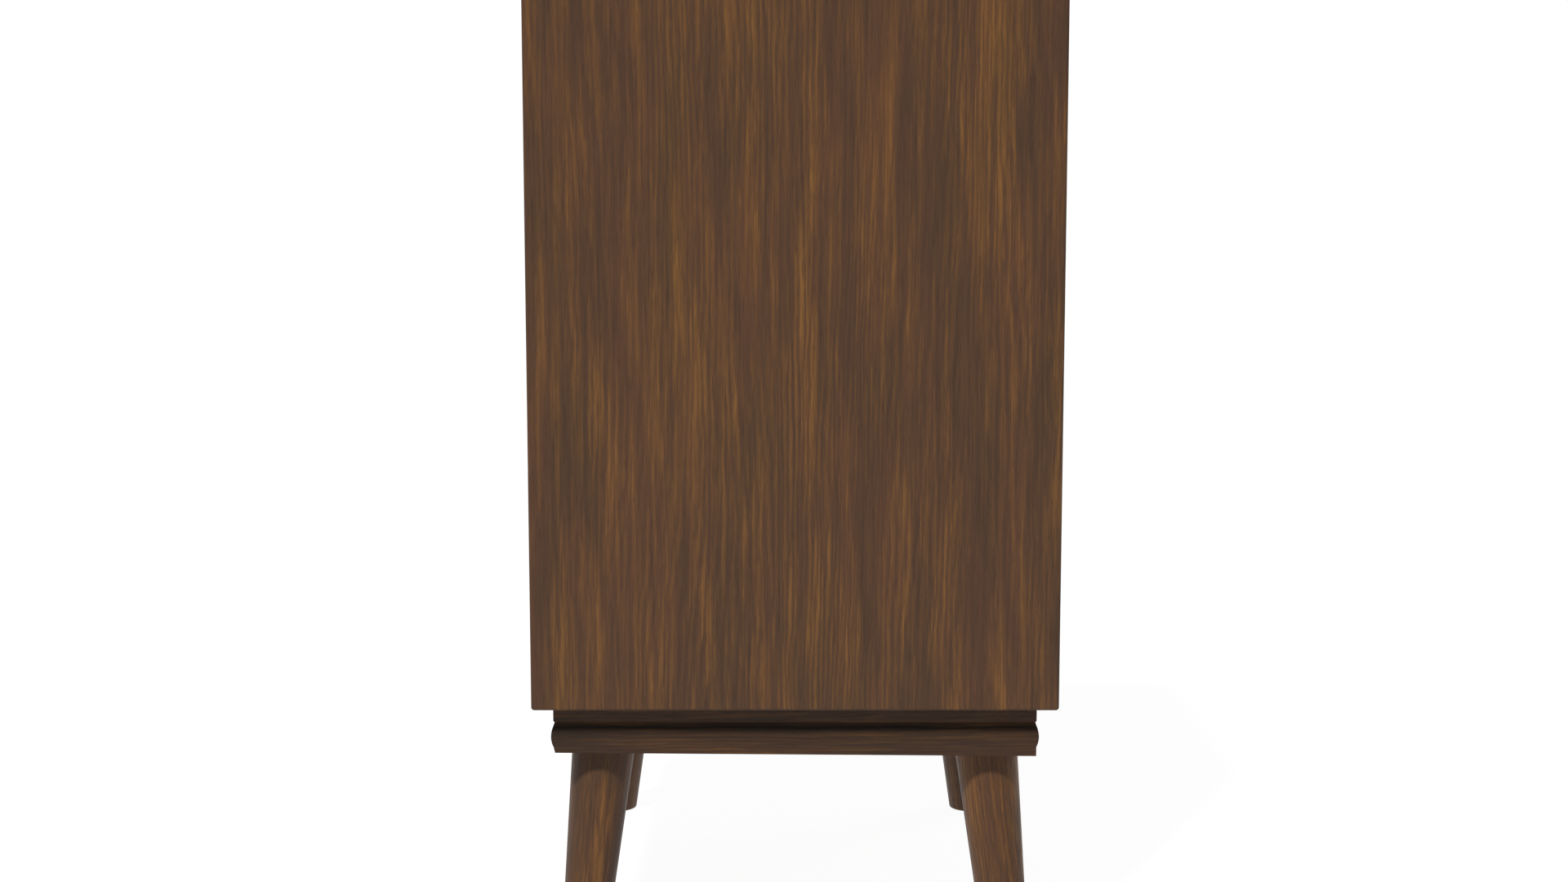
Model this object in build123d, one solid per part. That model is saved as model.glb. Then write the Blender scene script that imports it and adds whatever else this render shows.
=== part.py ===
from build123d import *
import os
from math import cos, pi, radians, sin, sqrt

# A console television set of the late 1950s: a mitred walnut case on a moulded plinth
# and four turned, splayed legs, with a 17 inch picture tube, a control panel and a
# loudspeaker grille in its front, and a vented hardboard back.
# Millimetres. X runs across the front, -Y is the front, +Z is up. The origin is on the
# floor, under the middle of the case.

os.makedirs("parts", exist_ok=True)

# ---------------------------------------------------------------- driving dimensions
case_width = 470.0
case_depth = 450.0
case_height = 660.0
panel_thickness = 18.0
case_edge_round = 2.8
back_rabbet_width = 8.0
back_rabbet_depth = 6.0

glide_stand = 1.5  # how far a glide stands out under its leg
leg_length = 170.0  # turned leg, from its foot to its top, measured upright
leg_top_radius = 27.8
leg_foot_radius = 20.1
leg_inset = 58.0  # case side to the middle of the leg's top
leg_splay = 17.3  # how far the foot stands out from the top, both ways
foot_round = 2.0
glide_radius = 11.0
glide_height = 3.4

corner_block_height = 38.0
rail_setback = 17.2  # case side to the plinth's upper band
rail_thickness = 12.0
rail_band = 12.9  # height of the plinth's upper band
rail_quirk = 1.0  # depth of the groove under it
rail_quirk_foot = 14.4
rail_bead_top = 17.3
rail_bead_middle = 27.0
rail_bead_foot = 36.0
rail_bead_stand = 1.9  # how far the bead stands out from the band
rail_front_height = 41.1
rail_back_height = 44.0
rail_front_lean = 1.3  # the front rail's lower band leans back

front_recess = 28.0
baffle_thickness = 12.0
fit_gap = 0.5  # round every board that drops into the case
cleat_width = 11.0
cleat_thickness = 14.0
cleat_height = 18.0
board_bite = 9.0  # how far a screw reaches into the front board
speaker_bite = 8.0

tube_width = 392.0
tube_height = 309.0
tube_corner = 48.0
tube_face_radius = 900.0
tube_setback = 21.0  # baffle's front to the middle of the tube's face
tube_skirt = 58.0  # middle of the face to the funnel's start
tube_funnel = 140.0
tube_neck_radius = 14.3
tube_neck = 130.0
tube_wall = 8.0
tube_flare_radius = 28.0  # where the funnel ends and the neck's flare starts
tube_flare = 26.0  # length of the flare
neck_wall = 1.6

mask_wall = 2.5
mask_corner = 34.0
mask_narrowing = 40.0  # how much narrower the mask's throat is at its back
mask_gap = 0.8  # mask to the tube's face
mask_flange = 8.0
glass_thickness = 4.0
glass_frame_lip = 6.0
glass_frame_wall = 5.5
glass_frame_depth = 12.0
frame_margin = 8.0  # glass frame to the case's top

control_gap = 4.0  # glass frame to the control panel
control_height = 68.0
control_border = 3.0
control_depth = 6.0
control_plate = 1.6
knob_spread = 150.0  # middle to each large knob, across
door_width = 150.0
door_height = 42.0
door_thickness = 2.4
door_barrel_radius = 2.4
door_pin_radius = 1.4
door_pin_length = 3.0
door_gap = 0.5
well_depth = 26.0
well_wall = 2.0
preset_spacing = 34.0

shaft_radius = 3.0
running_gap = 0.08
volume_knob_radius = 19.0
volume_knob_height = 18.0
channel_knob_radius = 17.0
channel_knob_height = 13.0
tuning_ring_radius = 24.0
tuning_ring_height = 7.5
preset_knob_radius = 7.0
preset_knob_height = 15.0
knob_stand = 1.2  # knob to the plate behind it

grille_gap = 6.0
grille_rim = 10.0
grille_rim_depth = 10.0
cloth_thickness = 3.0
slat_width = 7.0
slat_depth = 5.0
slat_count = 13
speaker_radius = 80.0
speaker_opening = 68.0
speaker_depth = 48.0
magnet_radius = 36.0
magnet_height = 24.0

shelf_thickness = 12.0
shelf_drop = 66.0  # middle of the control panel to the shelf's top
chassis_width = 372.0
chassis_depth = 236.0
chassis_height = 56.0
chassis_wall = 1.2
back_thickness = 4.0
screw_radius = 1.75
screw_hole = screw_radius + 0.05
screw_head_radius = 3.6
screw_head_height = 1.6

# ---------------------------------------------------------------- worked-out places
half_width = case_width / 2
half_depth = case_depth / 2
leg_top = glide_stand + leg_length
case_bottom = leg_top + corner_block_height
case_top = case_bottom + case_height
inner_half_width = half_width - panel_thickness
inner_bottom = case_bottom + panel_thickness
inner_top = case_top - panel_thickness
baffle_front = -half_depth + front_recess
baffle_back = baffle_front + baffle_thickness

mask_width = tube_width + 4.0
mask_height = tube_height - 1.0
glass_width = mask_width + 2 * mask_flange
glass_height = mask_height + 2 * mask_flange
frame_width = glass_width + 2 * glass_frame_wall
frame_height = glass_height + 2 * glass_frame_wall
screen_z = inner_top - frame_margin - frame_height / 2
tube_face = baffle_front + tube_setback
funnel_start = tube_face + tube_skirt
neck_start = funnel_start + tube_funnel
neck_end = neck_start + tube_neck

control_top = screen_z - frame_height / 2 - control_gap
control_z = control_top - control_height / 2
control_width = frame_width
plate_front = baffle_front - control_plate
door_axis_y = plate_front - door_barrel_radius + door_thickness / 2
door_axis_z = control_z - door_height / 2 + door_barrel_radius
well_floor = baffle_front + well_depth

grille_top = control_top - control_height - grille_gap
grille_bottom = inner_bottom + frame_margin
grille_height = grille_top - grille_bottom
grille_z = (grille_top + grille_bottom) / 2

shelf_top = control_z - shelf_drop
back_face = half_depth - back_rabbet_depth
back_half_width = inner_half_width + back_rabbet_width
chassis_top = shelf_top + chassis_height
chassis_back = back_face - 26.0
chassis_front = chassis_back - chassis_depth


# ---------------------------------------------------------------- shared shapes
def block(x, y, z):
    """A box from its (low, high) pair on each axis."""
    centre = [(low + high) / 2 for low, high in (x, y, z)]
    return Pos(*centre) * Box(*[high - low for low, high in (x, y, z)])


def rod(start, end, radius):
    """A round rod from one point to another."""
    axis = Vector(*end) - Vector(*start)
    stock = Cylinder(radius, axis.length, align=(Align.CENTER, Align.CENTER, Align.MIN))
    return Plane(origin=start, z_dir=axis) * stock


def slab(sketch, y, x=0.0, z=0.0):
    """A flat shape, drawn as seen from the front, made solid over a (low, high) pair in Y."""
    low, high = y
    plane = Plane(origin=(x, high, z), x_dir=(1, 0, 0), z_dir=(0, -1, 0))
    return extrude(plane * sketch, amount=high - low, dir=(0, -1, 0))


def plate(width, height, corner, y, x=0.0, z=0.0):
    """A flat plate with rounded corners, standing upright."""
    return slab(RectangleRounded(width, height, corner), y, x, z)


def turned(points, x=0.0, z=0.0):
    """A solid turned round an axis along Y, from its (y, radius) outline."""
    plane = Plane(origin=(x, 0, z), x_dir=(0, 1, 0), z_dir=(1, 0, 0))
    section = make_face(Polyline(*points, close=True))
    return revolve(plane * section, Axis((x, 0, z), (0, 1, 0)))


def joined(pieces):
    """Several touching pieces as one solid."""
    whole = pieces[0]
    for piece in pieces[1:]:
        whole = whole + piece
    return whole


def save(node, *pieces):
    """Writes one sub-part, as one solid or as a group of separate solids."""
    solids = [solid for piece in pieces for solid in piece.solids()]
    shape = solids[0] if len(solids) == 1 else Compound(solids)
    export_step(shape, f"parts/{node}.step")


def corners(x, y):
    """The four places (+-x, +-y)."""
    return [(sx * x, sy * y) for sx in (-1, 1) for sy in (-1, 1)]


# ---------------------------------------------------------------- case: four mitred panels
back_screw_x = inner_half_width + back_rabbet_width / 2
back_screw_places = [
    (side * back_screw_x, case_bottom + share * case_height)
    for side in (-1, 1)
    for share in (0.12, 0.37, 0.63, 0.88)
]
back_screw_shank = 16.0
back_front = back_face
back_rear = back_front + back_thickness


def back_screw_holes(radius):
    """Holes for the back's screws, through the cover and into the panels."""
    reach = back_screw_shank + 0.5
    start, end = back_front - reach, half_depth + 1
    return [rod((x, start, z), (x, end, z), radius) for x, z in back_screw_places]


def case_shell():
    """The case as one tube, open at the front and the back."""
    case_x = (-half_width, half_width)
    case_y = (-half_depth, half_depth)
    solid = block(case_x, case_y, (case_bottom, case_top))
    solid = fillet(solid.edges(), case_edge_round)
    inside_x = (-inner_half_width, inner_half_width)
    solid = solid - block(inside_x, (-half_depth - 1, half_depth + 1), (inner_bottom, inner_top))
    rabbet_x = (-back_half_width, back_half_width)
    rabbet_z = (inner_bottom - back_rabbet_width, inner_top + back_rabbet_width)
    solid = solid - block(rabbet_x, (back_face, half_depth + 1), rabbet_z)
    return solid - back_screw_holes(screw_hole)


def mitre_wedge(points):
    """The part of the case between two mitres, from its (x, z) outline."""
    section = make_face(Polyline(*points, close=True))
    return slab(section, (-half_depth - 5, half_depth + 5))


shell = case_shell()
reach = 20.0  # past the outside of the case, so that no wedge ends in a panel
outer_x, outer_low, outer_high = half_width + reach, case_bottom - reach, case_top + reach
mid = case_width / 2 - panel_thickness - 60.0
inner_low, inner_high = case_bottom + (half_width - mid), case_top - (half_width - mid)
for side, node in ((-1, "left_side_panel"), (1, "right_side_panel")):
    wedge = mitre_wedge(
        [
            (side * outer_x, outer_low),
            (side * outer_x, outer_high),
            (side * mid, inner_high),
            (side * mid, inner_low),
        ]
    )
    save(node, shell & wedge)
for outer, inner, node in ((outer_high, inner_high, "top_panel"), (outer_low, inner_low, "bottom_panel")):
    wedge = mitre_wedge([(-outer_x, outer), (outer_x, outer), (mid, inner), (-mid, inner)])
    save(node, shell & wedge)


# ---------------------------------------------------------------- plinth: four mitred rails
def rail_outline(side, half_span, foot, lean):
    """One side of the plinth's section, from the case down: band, groove, bead, lower band."""
    face = half_span - rail_setback

    def at(stand_out, drop):
        return (side * (face + stand_out), case_bottom - drop)

    return [
        Line(at(0, 0), at(0, rail_band)),
        Line(at(0, rail_band), at(-rail_quirk, rail_quirk_foot)),
        Line(at(-rail_quirk, rail_quirk_foot), at(0, rail_bead_top)),
        ThreePointArc(at(0, rail_bead_top), at(rail_bead_stand, rail_bead_middle), at(0, rail_bead_foot)),
        Line(at(0, rail_bead_foot), at(-lean, foot)),
    ]


def plinth_section(half_span, feet, leans):
    """The plinth's whole section across one way, as a face."""
    low = rail_outline(-1, half_span, feet[0], leans[0])
    high = rail_outline(1, half_span, feet[1], leans[1])
    lines = low + high + [Line(low[0] @ 0, high[0] @ 0), Line(low[-1] @ 1, high[-1] @ 1)]
    return make_face(lines)


def plinth_frame():
    """The plinth as one frame: its two sections crossed, then hollowed."""
    across = plinth_section(half_width, (rail_back_height + 2,) * 2, (0, 0))
    along = plinth_section(half_depth, (rail_front_height, rail_back_height), (rail_front_lean, 0))
    frame = extrude(Plane.XZ * across, amount=case_depth, both=True)
    frame = frame & extrude(Plane.YZ * along, amount=case_width, both=True)
    inset = rail_setback + rail_thickness
    hollow_x, hollow_y = half_width - inset, half_depth - inset
    return frame - block(
        (-hollow_x, hollow_x), (-hollow_y, hollow_y), (case_bottom - rail_back_height - 9, case_bottom + 1)
    )


def rail_wedge(outer, inner):
    """The stretch of the plinth between two mitres, seen from above."""
    section = make_face(Polyline(*outer, *inner, close=True))
    low = case_bottom - rail_back_height - 5
    return extrude(Pos(0, 0, low) * section, amount=rail_back_height + 10, dir=(0, 0, 1))


plinth = plinth_frame()
far_x, far_y = half_width + reach, half_depth + reach
near = rail_setback + rail_thickness + reach
near_x, near_y = half_width - near, half_depth - near
for side, node in ((-1, "front_rail"), (1, "back_rail")):
    far_edge = [(-far_x, side * far_y), (far_x, side * far_y)]
    near_edge = [(near_x, side * near_y), (-near_x, side * near_y)]
    save(node, plinth & rail_wedge(far_edge, near_edge))
for side, node in ((-1, "left_rail"), (1, "right_rail")):
    far_edge = [(side * far_x, -far_y), (side * far_x, far_y)]
    near_edge = [(side * near_x, near_y), (side * near_x, -near_y)]
    save(node, plinth & rail_wedge(far_edge, near_edge))

# ---------------------------------------------------------------- legs, blocks, bolts and glides
bolt_radius = 4.0
bolt_gap = 0.15
bolt_in_leg = 45.0
bolt_in_block = 30.0
block_size = 74.0
block_chamfer = 22.0
leg_x, leg_y = half_width - leg_inset, half_depth - leg_inset
leg_slope = leg_splay / leg_length


def leg_axis(sx, sy, z):
    """The point of a leg's axis at a height."""
    out = (leg_top - z) * leg_slope
    return (sx * (leg_x + out), sy * (leg_y + out), z)


def leg(sx, sy):
    """A turned leg, cut level at its foot and its top, with a bolt hole and a glide's seat."""
    spare = 12.0
    growth = (leg_top_radius - leg_foot_radius) / leg_length
    low, high = glide_stand - spare, leg_top + spare
    start, end = leg_axis(sx, sy, low), leg_axis(sx, sy, high)
    stock = Cone(
        leg_foot_radius - growth * spare,
        leg_top_radius + growth * spare,
        (Vector(*end) - Vector(*start)).length,
        align=(Align.CENTER, Align.CENTER, Align.MIN),
    )
    solid = Plane(origin=start, z_dir=Vector(*end) - Vector(*start)) * stock
    wide = leg_top_radius * 2
    foot = leg_axis(sx, sy, glide_stand)
    solid = solid & block(
        (foot[0] - wide, foot[0] + wide), (foot[1] - wide, foot[1] + wide), (glide_stand, leg_top)
    )
    solid = fillet(solid.edges().sort_by(Axis.Z)[0], foot_round)
    seat = rod((foot[0], foot[1], 0), (foot[0], foot[1], glide_height + 0.1), glide_radius + 0.1)
    solid = solid - seat
    hole_end = leg_axis(sx, sy, leg_top - bolt_in_leg - 0.5)
    return solid - rod(hole_end, leg_axis(sx, sy, leg_top + 9), bolt_radius + bolt_gap)


def corner_block(sx, sy):
    """The block in a corner of the plinth that takes a leg's bolt."""
    outer_x = half_width - rail_setback - rail_thickness
    outer_y = half_depth - rail_setback - rail_thickness
    outline = [
        (sx * outer_x, sy * outer_y),
        (sx * (outer_x - block_size), sy * outer_y),
        (sx * (outer_x - block_size), sy * (outer_y - block_size + block_chamfer)),
        (sx * (outer_x - block_size + block_chamfer), sy * (outer_y - block_size)),
        (sx * outer_x, sy * (outer_y - block_size)),
    ]
    footprint = Pos(0, 0, leg_top) * make_face(Polyline(*outline, close=True))
    solid = extrude(footprint, amount=corner_block_height, dir=(0, 0, 1))
    top = leg_axis(sx, sy, leg_top + bolt_in_block + 1)
    return solid - rod(leg_axis(sx, sy, leg_top - 9), top, bolt_radius + bolt_gap)


def glide(sx, sy):
    """A nylon glide under a foot."""
    x, y = leg_axis(sx, sy, glide_stand)[:2]
    disc = rod((x, y, 0), (x, y, glide_height), glide_radius)
    return fillet(disc.edges().sort_by(Axis.Z)[0], 0.6)


leg_names = {
    (-1, -1): "front_left_leg",
    (1, -1): "front_right_leg",
    (-1, 1): "back_left_leg",
    (1, 1): "back_right_leg",
}
for (sx, sy), node in leg_names.items():
    save(node, leg(sx, sy))
save("corner_blocks", *[corner_block(sx, sy) for sx, sy in leg_names])
bolt_ends = (leg_top - bolt_in_leg, leg_top + bolt_in_block)
leg_bolts = [rod(*[leg_axis(sx, sy, z) for z in bolt_ends], bolt_radius) for sx, sy in leg_names]
save("leg_bolts", *leg_bolts)
save("foot_glides", *[glide(sx, sy) for sx, sy in leg_names])

# ---------------------------------------------------------------- front board and its cleats
baffle_y = (baffle_front, baffle_back)
well_width = door_width + 2 * (well_wall + door_pin_length + 1.0)
well_height = door_height + 2 * well_wall
volume_x, channel_x = -knob_spread, knob_spread
bush_hole = 14.0


def front_baffle():
    """The board that carries the tube, the controls and the loudspeaker."""
    width = 2 * (inner_half_width - fit_gap)
    height = inner_top - inner_bottom - 2 * fit_gap
    board = slab(Rectangle(width, height), baffle_y, 0, (inner_top + inner_bottom) / 2)
    through = (baffle_front - 1, baffle_back + 1)
    board = board - plate(mask_width + 2, mask_height + 2, mask_corner, through, 0, screen_z)
    board = board - slab(Rectangle(well_width + 2, well_height + 2), through, 0, control_z)
    for x in (volume_x, channel_x):
        board = board - rod((x, through[0], control_z), (x, through[1], control_z), bush_hole)
    return board - rod((0, through[0], grille_z), (0, through[1], grille_z), speaker_opening)


def baffle_cleats():
    """Four strips glued round the inside of the case, which the board is screwed to."""
    y = (baffle_back, baffle_back + cleat_width)
    side_z = (inner_bottom + cleat_thickness, inner_top - cleat_thickness)
    inner = inner_half_width - cleat_thickness
    return [
        block((-inner_half_width, -inner), y, side_z),
        block((inner, inner_half_width), y, side_z),
        block((-inner_half_width, inner_half_width), y, (inner_bottom, inner_bottom + cleat_thickness)),
        block((-inner_half_width, inner_half_width), y, (inner_top - cleat_thickness, inner_top)),
    ]


# ---------------------------------------------------------------- picture tube
tube_centre = (0, tube_face + tube_face_radius, screen_z)
gun_radius = 11.0
base_radius = 16.5
base_length = 20.0
pin_circle = 9.5
pin_radius = 1.2
pin_length = 11.0
yoke_start = neck_start + 30.0
yoke_length = 46.0


def tube_section(share, inset):
    """The funnel's section at a share of its length, from the skirt's shape to a round one."""
    curve = 1 - (1 - share) ** 1.15
    end = 2 * tube_flare_radius + 4
    width = tube_width + (end - tube_width) * curve - 2 * inset
    height = tube_height + (end - tube_height) * curve - 2 * inset
    nearly_round = 0.47 * min(width, height)
    corner = min(tube_corner - inset + share * 40.0, nearly_round)
    y = funnel_start + share * tube_funnel
    plane = Plane(origin=(0, y, screen_z), x_dir=(1, 0, 0), z_dir=(0, -1, 0))
    return plane * RectangleRounded(width, height, corner)


def tube_form(inset, neck_inset, neck_extra):
    """The tube's outer form, or its hollow when inset: domed skirt, funnel, cone and neck."""
    skirt = plate(
        tube_width - 2 * inset,
        tube_height - 2 * inset,
        tube_corner - inset,
        (tube_face - 1, funnel_start),
        0,
        screen_z,
    )
    skirt = skirt & (Pos(*tube_centre) * Sphere(tube_face_radius - inset))
    funnel = loft([tube_section(share, inset) for share in (0.0, 0.35, 0.7, 1.0)])
    radius = tube_neck_radius - neck_inset
    neck = turned(
        [
            (neck_start - 0.5, 0),
            (neck_start - 0.5, tube_flare_radius - inset),
            (neck_start + tube_flare, radius),
            (neck_end + neck_extra, radius),
            (neck_end + neck_extra, 0),
        ],
        0,
        screen_z,
    )
    return joined([skirt, funnel, neck])


picture_tube = tube_form(0, 0, 0) - tube_form(tube_wall, neck_wall, 2)
save("picture_tube", picture_tube)


def electron_gun():
    """The gun's stack of cylinders, held on the glass stem at the neck's end."""
    steps = [(gun_length, gun_radius - 3), (62.0, gun_radius), (34.0, gun_radius - 2)]
    solid = None
    for (start, radius), end in zip(steps, [62.0, 34.0, -neck_gap]):
        cylinder = rod((0, neck_end - start, screen_z), (0, neck_end - end, screen_z), radius)
        solid = cylinder if solid is None else solid + cylinder
    return solid


def tube_base():
    """The cap cemented on the neck's end, with its ring of pins."""
    base = rod((0, base_start, screen_z), (0, base_end, screen_z), base_radius)
    neck_seat = rod(
        (0, base_start - 1, screen_z), (0, neck_end + neck_gap, screen_z), tube_neck_radius + neck_gap
    )
    base = base - neck_seat
    for x, z in pin_places:
        base = base + rod((x, base_end - 1, z), (x, base_end + pin_length, z), pin_radius)
    return base


def tube_socket():
    """The socket pushed on the base's pins, tapered at its back."""
    socket = turned(
        [
            (socket_start, 0),
            (socket_start, base_radius + 1.5),
            (base_end + 10, base_radius + 1.5),
            (socket_back, base_radius - 3),
            (socket_back, 0),
        ],
        0,
        screen_z,
    )
    for x, z in pin_places:
        hole_end = base_end + pin_length + 0.5
        socket = socket - rod((x, base_end, z), (x, hole_end, z), pin_radius + neck_gap)
    return socket


gun_length = 80.0
neck_gap = 0.1
base_start = neck_end - 6.0
base_end = base_start + base_length
socket_start = base_end + 0.5
socket_back = base_end + pin_length + 5
pin_angles = [2 * pi * n / 8 for n in range(7)]
pin_places = [(pin_circle * cos(angle), screen_z + pin_circle * sin(angle)) for angle in pin_angles]
save("electron_gun", electron_gun())
save("tube_base", tube_base())
save("tube_socket", tube_socket())

neck_clear = tube_neck_radius + neck_gap
yoke_end = yoke_start + yoke_length
yoke_core = turned(
    [
        (yoke_start, neck_clear),
        (yoke_start, 44),
        (yoke_start + 4, 47),
        (yoke_end - 4, 47),
        (yoke_end, 42),
        (yoke_end, neck_clear),
    ],
    0,
    screen_z,
)
yoke_windings = turned(
    [
        (neck_start + 4, 27.5),
        (neck_start + 4, 41),
        (neck_start + 9, 44),
        (yoke_start, 42),
        (yoke_start, neck_clear + 0.4),
        (yoke_start - 3.5, neck_clear + 0.4),
    ],
    0,
    screen_z,
)
save("deflection_yoke", yoke_core, yoke_windings)

strap_thickness = 1.4
strap_y = (funnel_start - 22.0, funnel_start - 4.0)
ear_y = (strap_y[1] - 2.0, strap_y[1])
post_x = min(tube_width / 2 - 1.0, inner_half_width - cleat_thickness - 7.0)
post_z = tube_height / 2
post_half = 5.5
post_bolt = 2.0
post_bolt_depth = 14.0


ear_size = 25.0
ear_margin = 5.0
post_places = [(x, screen_z + z) for x, z in corners(post_x, post_z)]


def tube_strap():
    """The steel band round the tube's skirt, with an ear at each corner."""
    band = plate(
        tube_width + 2 * strap_thickness + 0.4,
        tube_height + 2 * strap_thickness + 0.4,
        tube_corner + strap_thickness + 0.2,
        strap_y,
        0,
        screen_z,
    )
    for x, z in post_places:
        ear_x = sorted((x, x * (1 - ear_size / abs(x))))
        ear_z = sorted((z, z + (ear_size if z < screen_z else -ear_size)))
        ear_x = (ear_x[0] - ear_margin, ear_x[1] + ear_margin)
        ear_z = (ear_z[0] - ear_margin, ear_z[1] + ear_margin)
        band = band + block(ear_x, ear_y, ear_z)
    through = (strap_y[0] - 1, strap_y[1] + 1)
    band = band - plate(tube_width + 0.4, tube_height + 0.4, tube_corner + 0.2, through, 0, screen_z)
    for x, z in post_places:
        band = band - rod((x, through[0], z), (x, through[1], z), post_bolt + bolt_gap)
    return band


def tube_post(x, z):
    """A post from the front board to one of the strap's ears."""
    post = block((x - post_half, x + post_half), (baffle_back, ear_y[0]), (z - post_half, z + post_half))
    return post - rod((x, ear_y[0] - post_bolt_depth - 0.5, z), (x, ear_y[0] + 1, z), post_bolt + 0.05)


def tube_bolt(x, z):
    """A bolt through a strap ear into its post."""
    shank = rod((x, ear_y[0] - post_bolt_depth, z), (x, ear_y[1], z), post_bolt)
    return shank + rod((x, ear_y[1], z), (x, ear_y[1] + 3, z), post_bolt * 2)


save("tube_strap", tube_strap())
save("tube_bolts", *[tube_bolt(x, z) for x, z in post_places])

# ---------------------------------------------------------------- mask, safety glass and its frame
mask_back_y = tube_face + 50.0
mask_front = baffle_front - 2.0
glass_back = mask_front - 0.6
glass_front = glass_back - glass_thickness


def mask_form(spare, extra):
    """The mask's tapered throat, or its opening, between the flange and the tube's face."""
    front = Plane(origin=(0, mask_front - extra, screen_z), x_dir=(1, 0, 0), z_dir=(0, -1, 0))
    back = Plane(origin=(0, mask_back_y + extra, screen_z), x_dir=(1, 0, 0), z_dir=(0, -1, 0))
    width, height = mask_width - 2 * spare, mask_height - 2 * spare
    return loft(
        [
            front * RectangleRounded(width, height, mask_corner - spare),
            back * RectangleRounded(width - mask_narrowing, height - mask_narrowing, tube_corner - spare),
        ]
    )


def screen_mask():
    """The moulded mask round the picture, cut to follow the tube's domed face."""
    flange = plate(glass_width - 1, glass_height - 1, 12, (mask_front, baffle_front), 0, screen_z)
    throat = mask_form(0.5, 0)
    mask = flange + throat
    mask = mask - mask_form(mask_wall + 0.5, 1)
    return mask - (Pos(*tube_centre) * Sphere(tube_face_radius + mask_gap))


def glass_frame():
    """The brass frame round the safety glass, with a rabbet for the glass behind its lip."""
    y = (baffle_front - glass_frame_depth, baffle_front)
    frame = plate(frame_width, frame_height, 16, y, 0, screen_z)
    front_edges = frame.faces().sort_by(Axis.Y)[0].edges()
    frame = fillet(front_edges, 2.2)
    lip = 2 * glass_frame_lip
    opening = plate(glass_width - lip, glass_height - lip, 10, (y[0] - 1, y[1] + 1), 0, screen_z)
    rabbet = plate(glass_width, glass_height, 12.5, (glass_front - 0.2, y[1] + 1), 0, screen_z)
    return frame - opening - rabbet


save("screen_mask", screen_mask())
save("safety_glass", plate(glass_width - 1, glass_height - 1, 12, (glass_front, glass_back), 0, screen_z))
save("glass_frame", glass_frame())

# ---------------------------------------------------------------- control panel, its well and its door
tuning_sleeve_radius = 5.0
door_low, door_high = control_z - door_height / 2, control_z + door_height / 2


def control_escutcheon():
    """The aluminium panel: a raised border round a plate with two bushes and the door's opening."""
    border_y = (baffle_front - control_depth, baffle_front)
    panel = plate(control_width, control_height, 6, border_y, 0, control_z)
    panel = fillet(panel.faces().sort_by(Axis.Y)[0].edges(), 1.2)
    inside = 2 * control_border
    panel = panel - plate(
        control_width - inside, control_height - inside, 4, (border_y[0] - 1, plate_front), 0, control_z
    )
    opening_x = (-door_width / 2 - door_gap, door_width / 2 + door_gap)
    opening_z = (door_low - door_gap, door_high + door_gap)
    panel = panel - block(opening_x, (border_y[0] - 1, baffle_front + 1), opening_z)
    for x, radius in ((volume_x, shaft_radius + 0.6), (channel_x, tuning_sleeve_radius + 0.6)):
        panel = panel - rod((x, border_y[0] - 1, control_z), (x, baffle_front + 1, control_z), radius)
    return panel


def control_well():
    """The moulded box behind the door, with a lug each side that holds the door's pins."""
    x, z = well_width / 2, well_height / 2
    box = block((-x, x), (baffle_front, well_floor + well_wall), (control_z - z, control_z + z))
    inner_x = door_width / 2 + door_gap
    hollow_z = (door_low - door_gap, door_high + door_gap)
    box = box - block((-inner_x, inner_x), (baffle_front - 1, well_floor), hollow_z)
    for x in preset_places:
        hole_y = (well_floor - 1, well_floor + well_wall + 1)
        box = box - rod((x, hole_y[0], control_z), (x, hole_y[1], control_z), pot_bush_radius + 0.1)
    return box


preset_places = [preset_spacing * (n - 1.5) for n in range(4)]
pot_bush_radius = 4.6
pot_radius = 10.0


def pin_lug(side):
    """A knuckle on the control panel that holds one of the door's pins."""
    inner = side * (door_width / 2 + door_gap)
    outer = side * (door_width / 2 + door_pin_length + 1.5)
    lug_y = (door_axis_y - door_barrel_radius, plate_front)
    lug = block(tuple(sorted((inner, outer))), lug_y, (door_low, door_axis_z + door_barrel_radius))
    return lug


def door_pin(side, radius, spare):
    """A pin of the door, or the hole for it."""
    start = side * (door_width / 2 - 1)
    end = side * (door_width / 2 + door_pin_length + spare)
    return rod((start, door_axis_y, door_axis_z), (end, door_axis_y, door_axis_z), radius)


def control_door():
    """The flap over the four small knobs, with its barrel, its pins and a finger pull."""
    half = door_width / 2
    leaf_y = (plate_front - door_thickness, plate_front)
    leaf = block((-half, half), leaf_y, (door_axis_z, door_high))
    barrel = rod((-half, door_axis_y, door_axis_z), (half, door_axis_y, door_axis_z), door_barrel_radius)
    pull = block((-door_pull / 2, door_pull / 2), (leaf_y[0] - 1.6, leaf_y[0]), (door_high - 3.2, door_high))
    pins = [door_pin(side, door_pin_radius, 0) for side in (-1, 1)]
    return joined([leaf, barrel, pull] + pins)


door_pull = 26.0
escutcheon = control_escutcheon()
for side in (-1, 1):
    escutcheon = escutcheon + pin_lug(side)
for side in (-1, 1):
    escutcheon = escutcheon - door_pin(side, door_pin_radius + running_gap, 0.3)
save("control_escutcheon", escutcheon)

stop_y = (plate_front + 0.1, baffle_front + 6)
door_stop = block((-12, 12), stop_y, (door_high - 2.5, door_high + door_gap))
save("control_well", control_well() + door_stop)
save("control_door", control_door())

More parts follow.
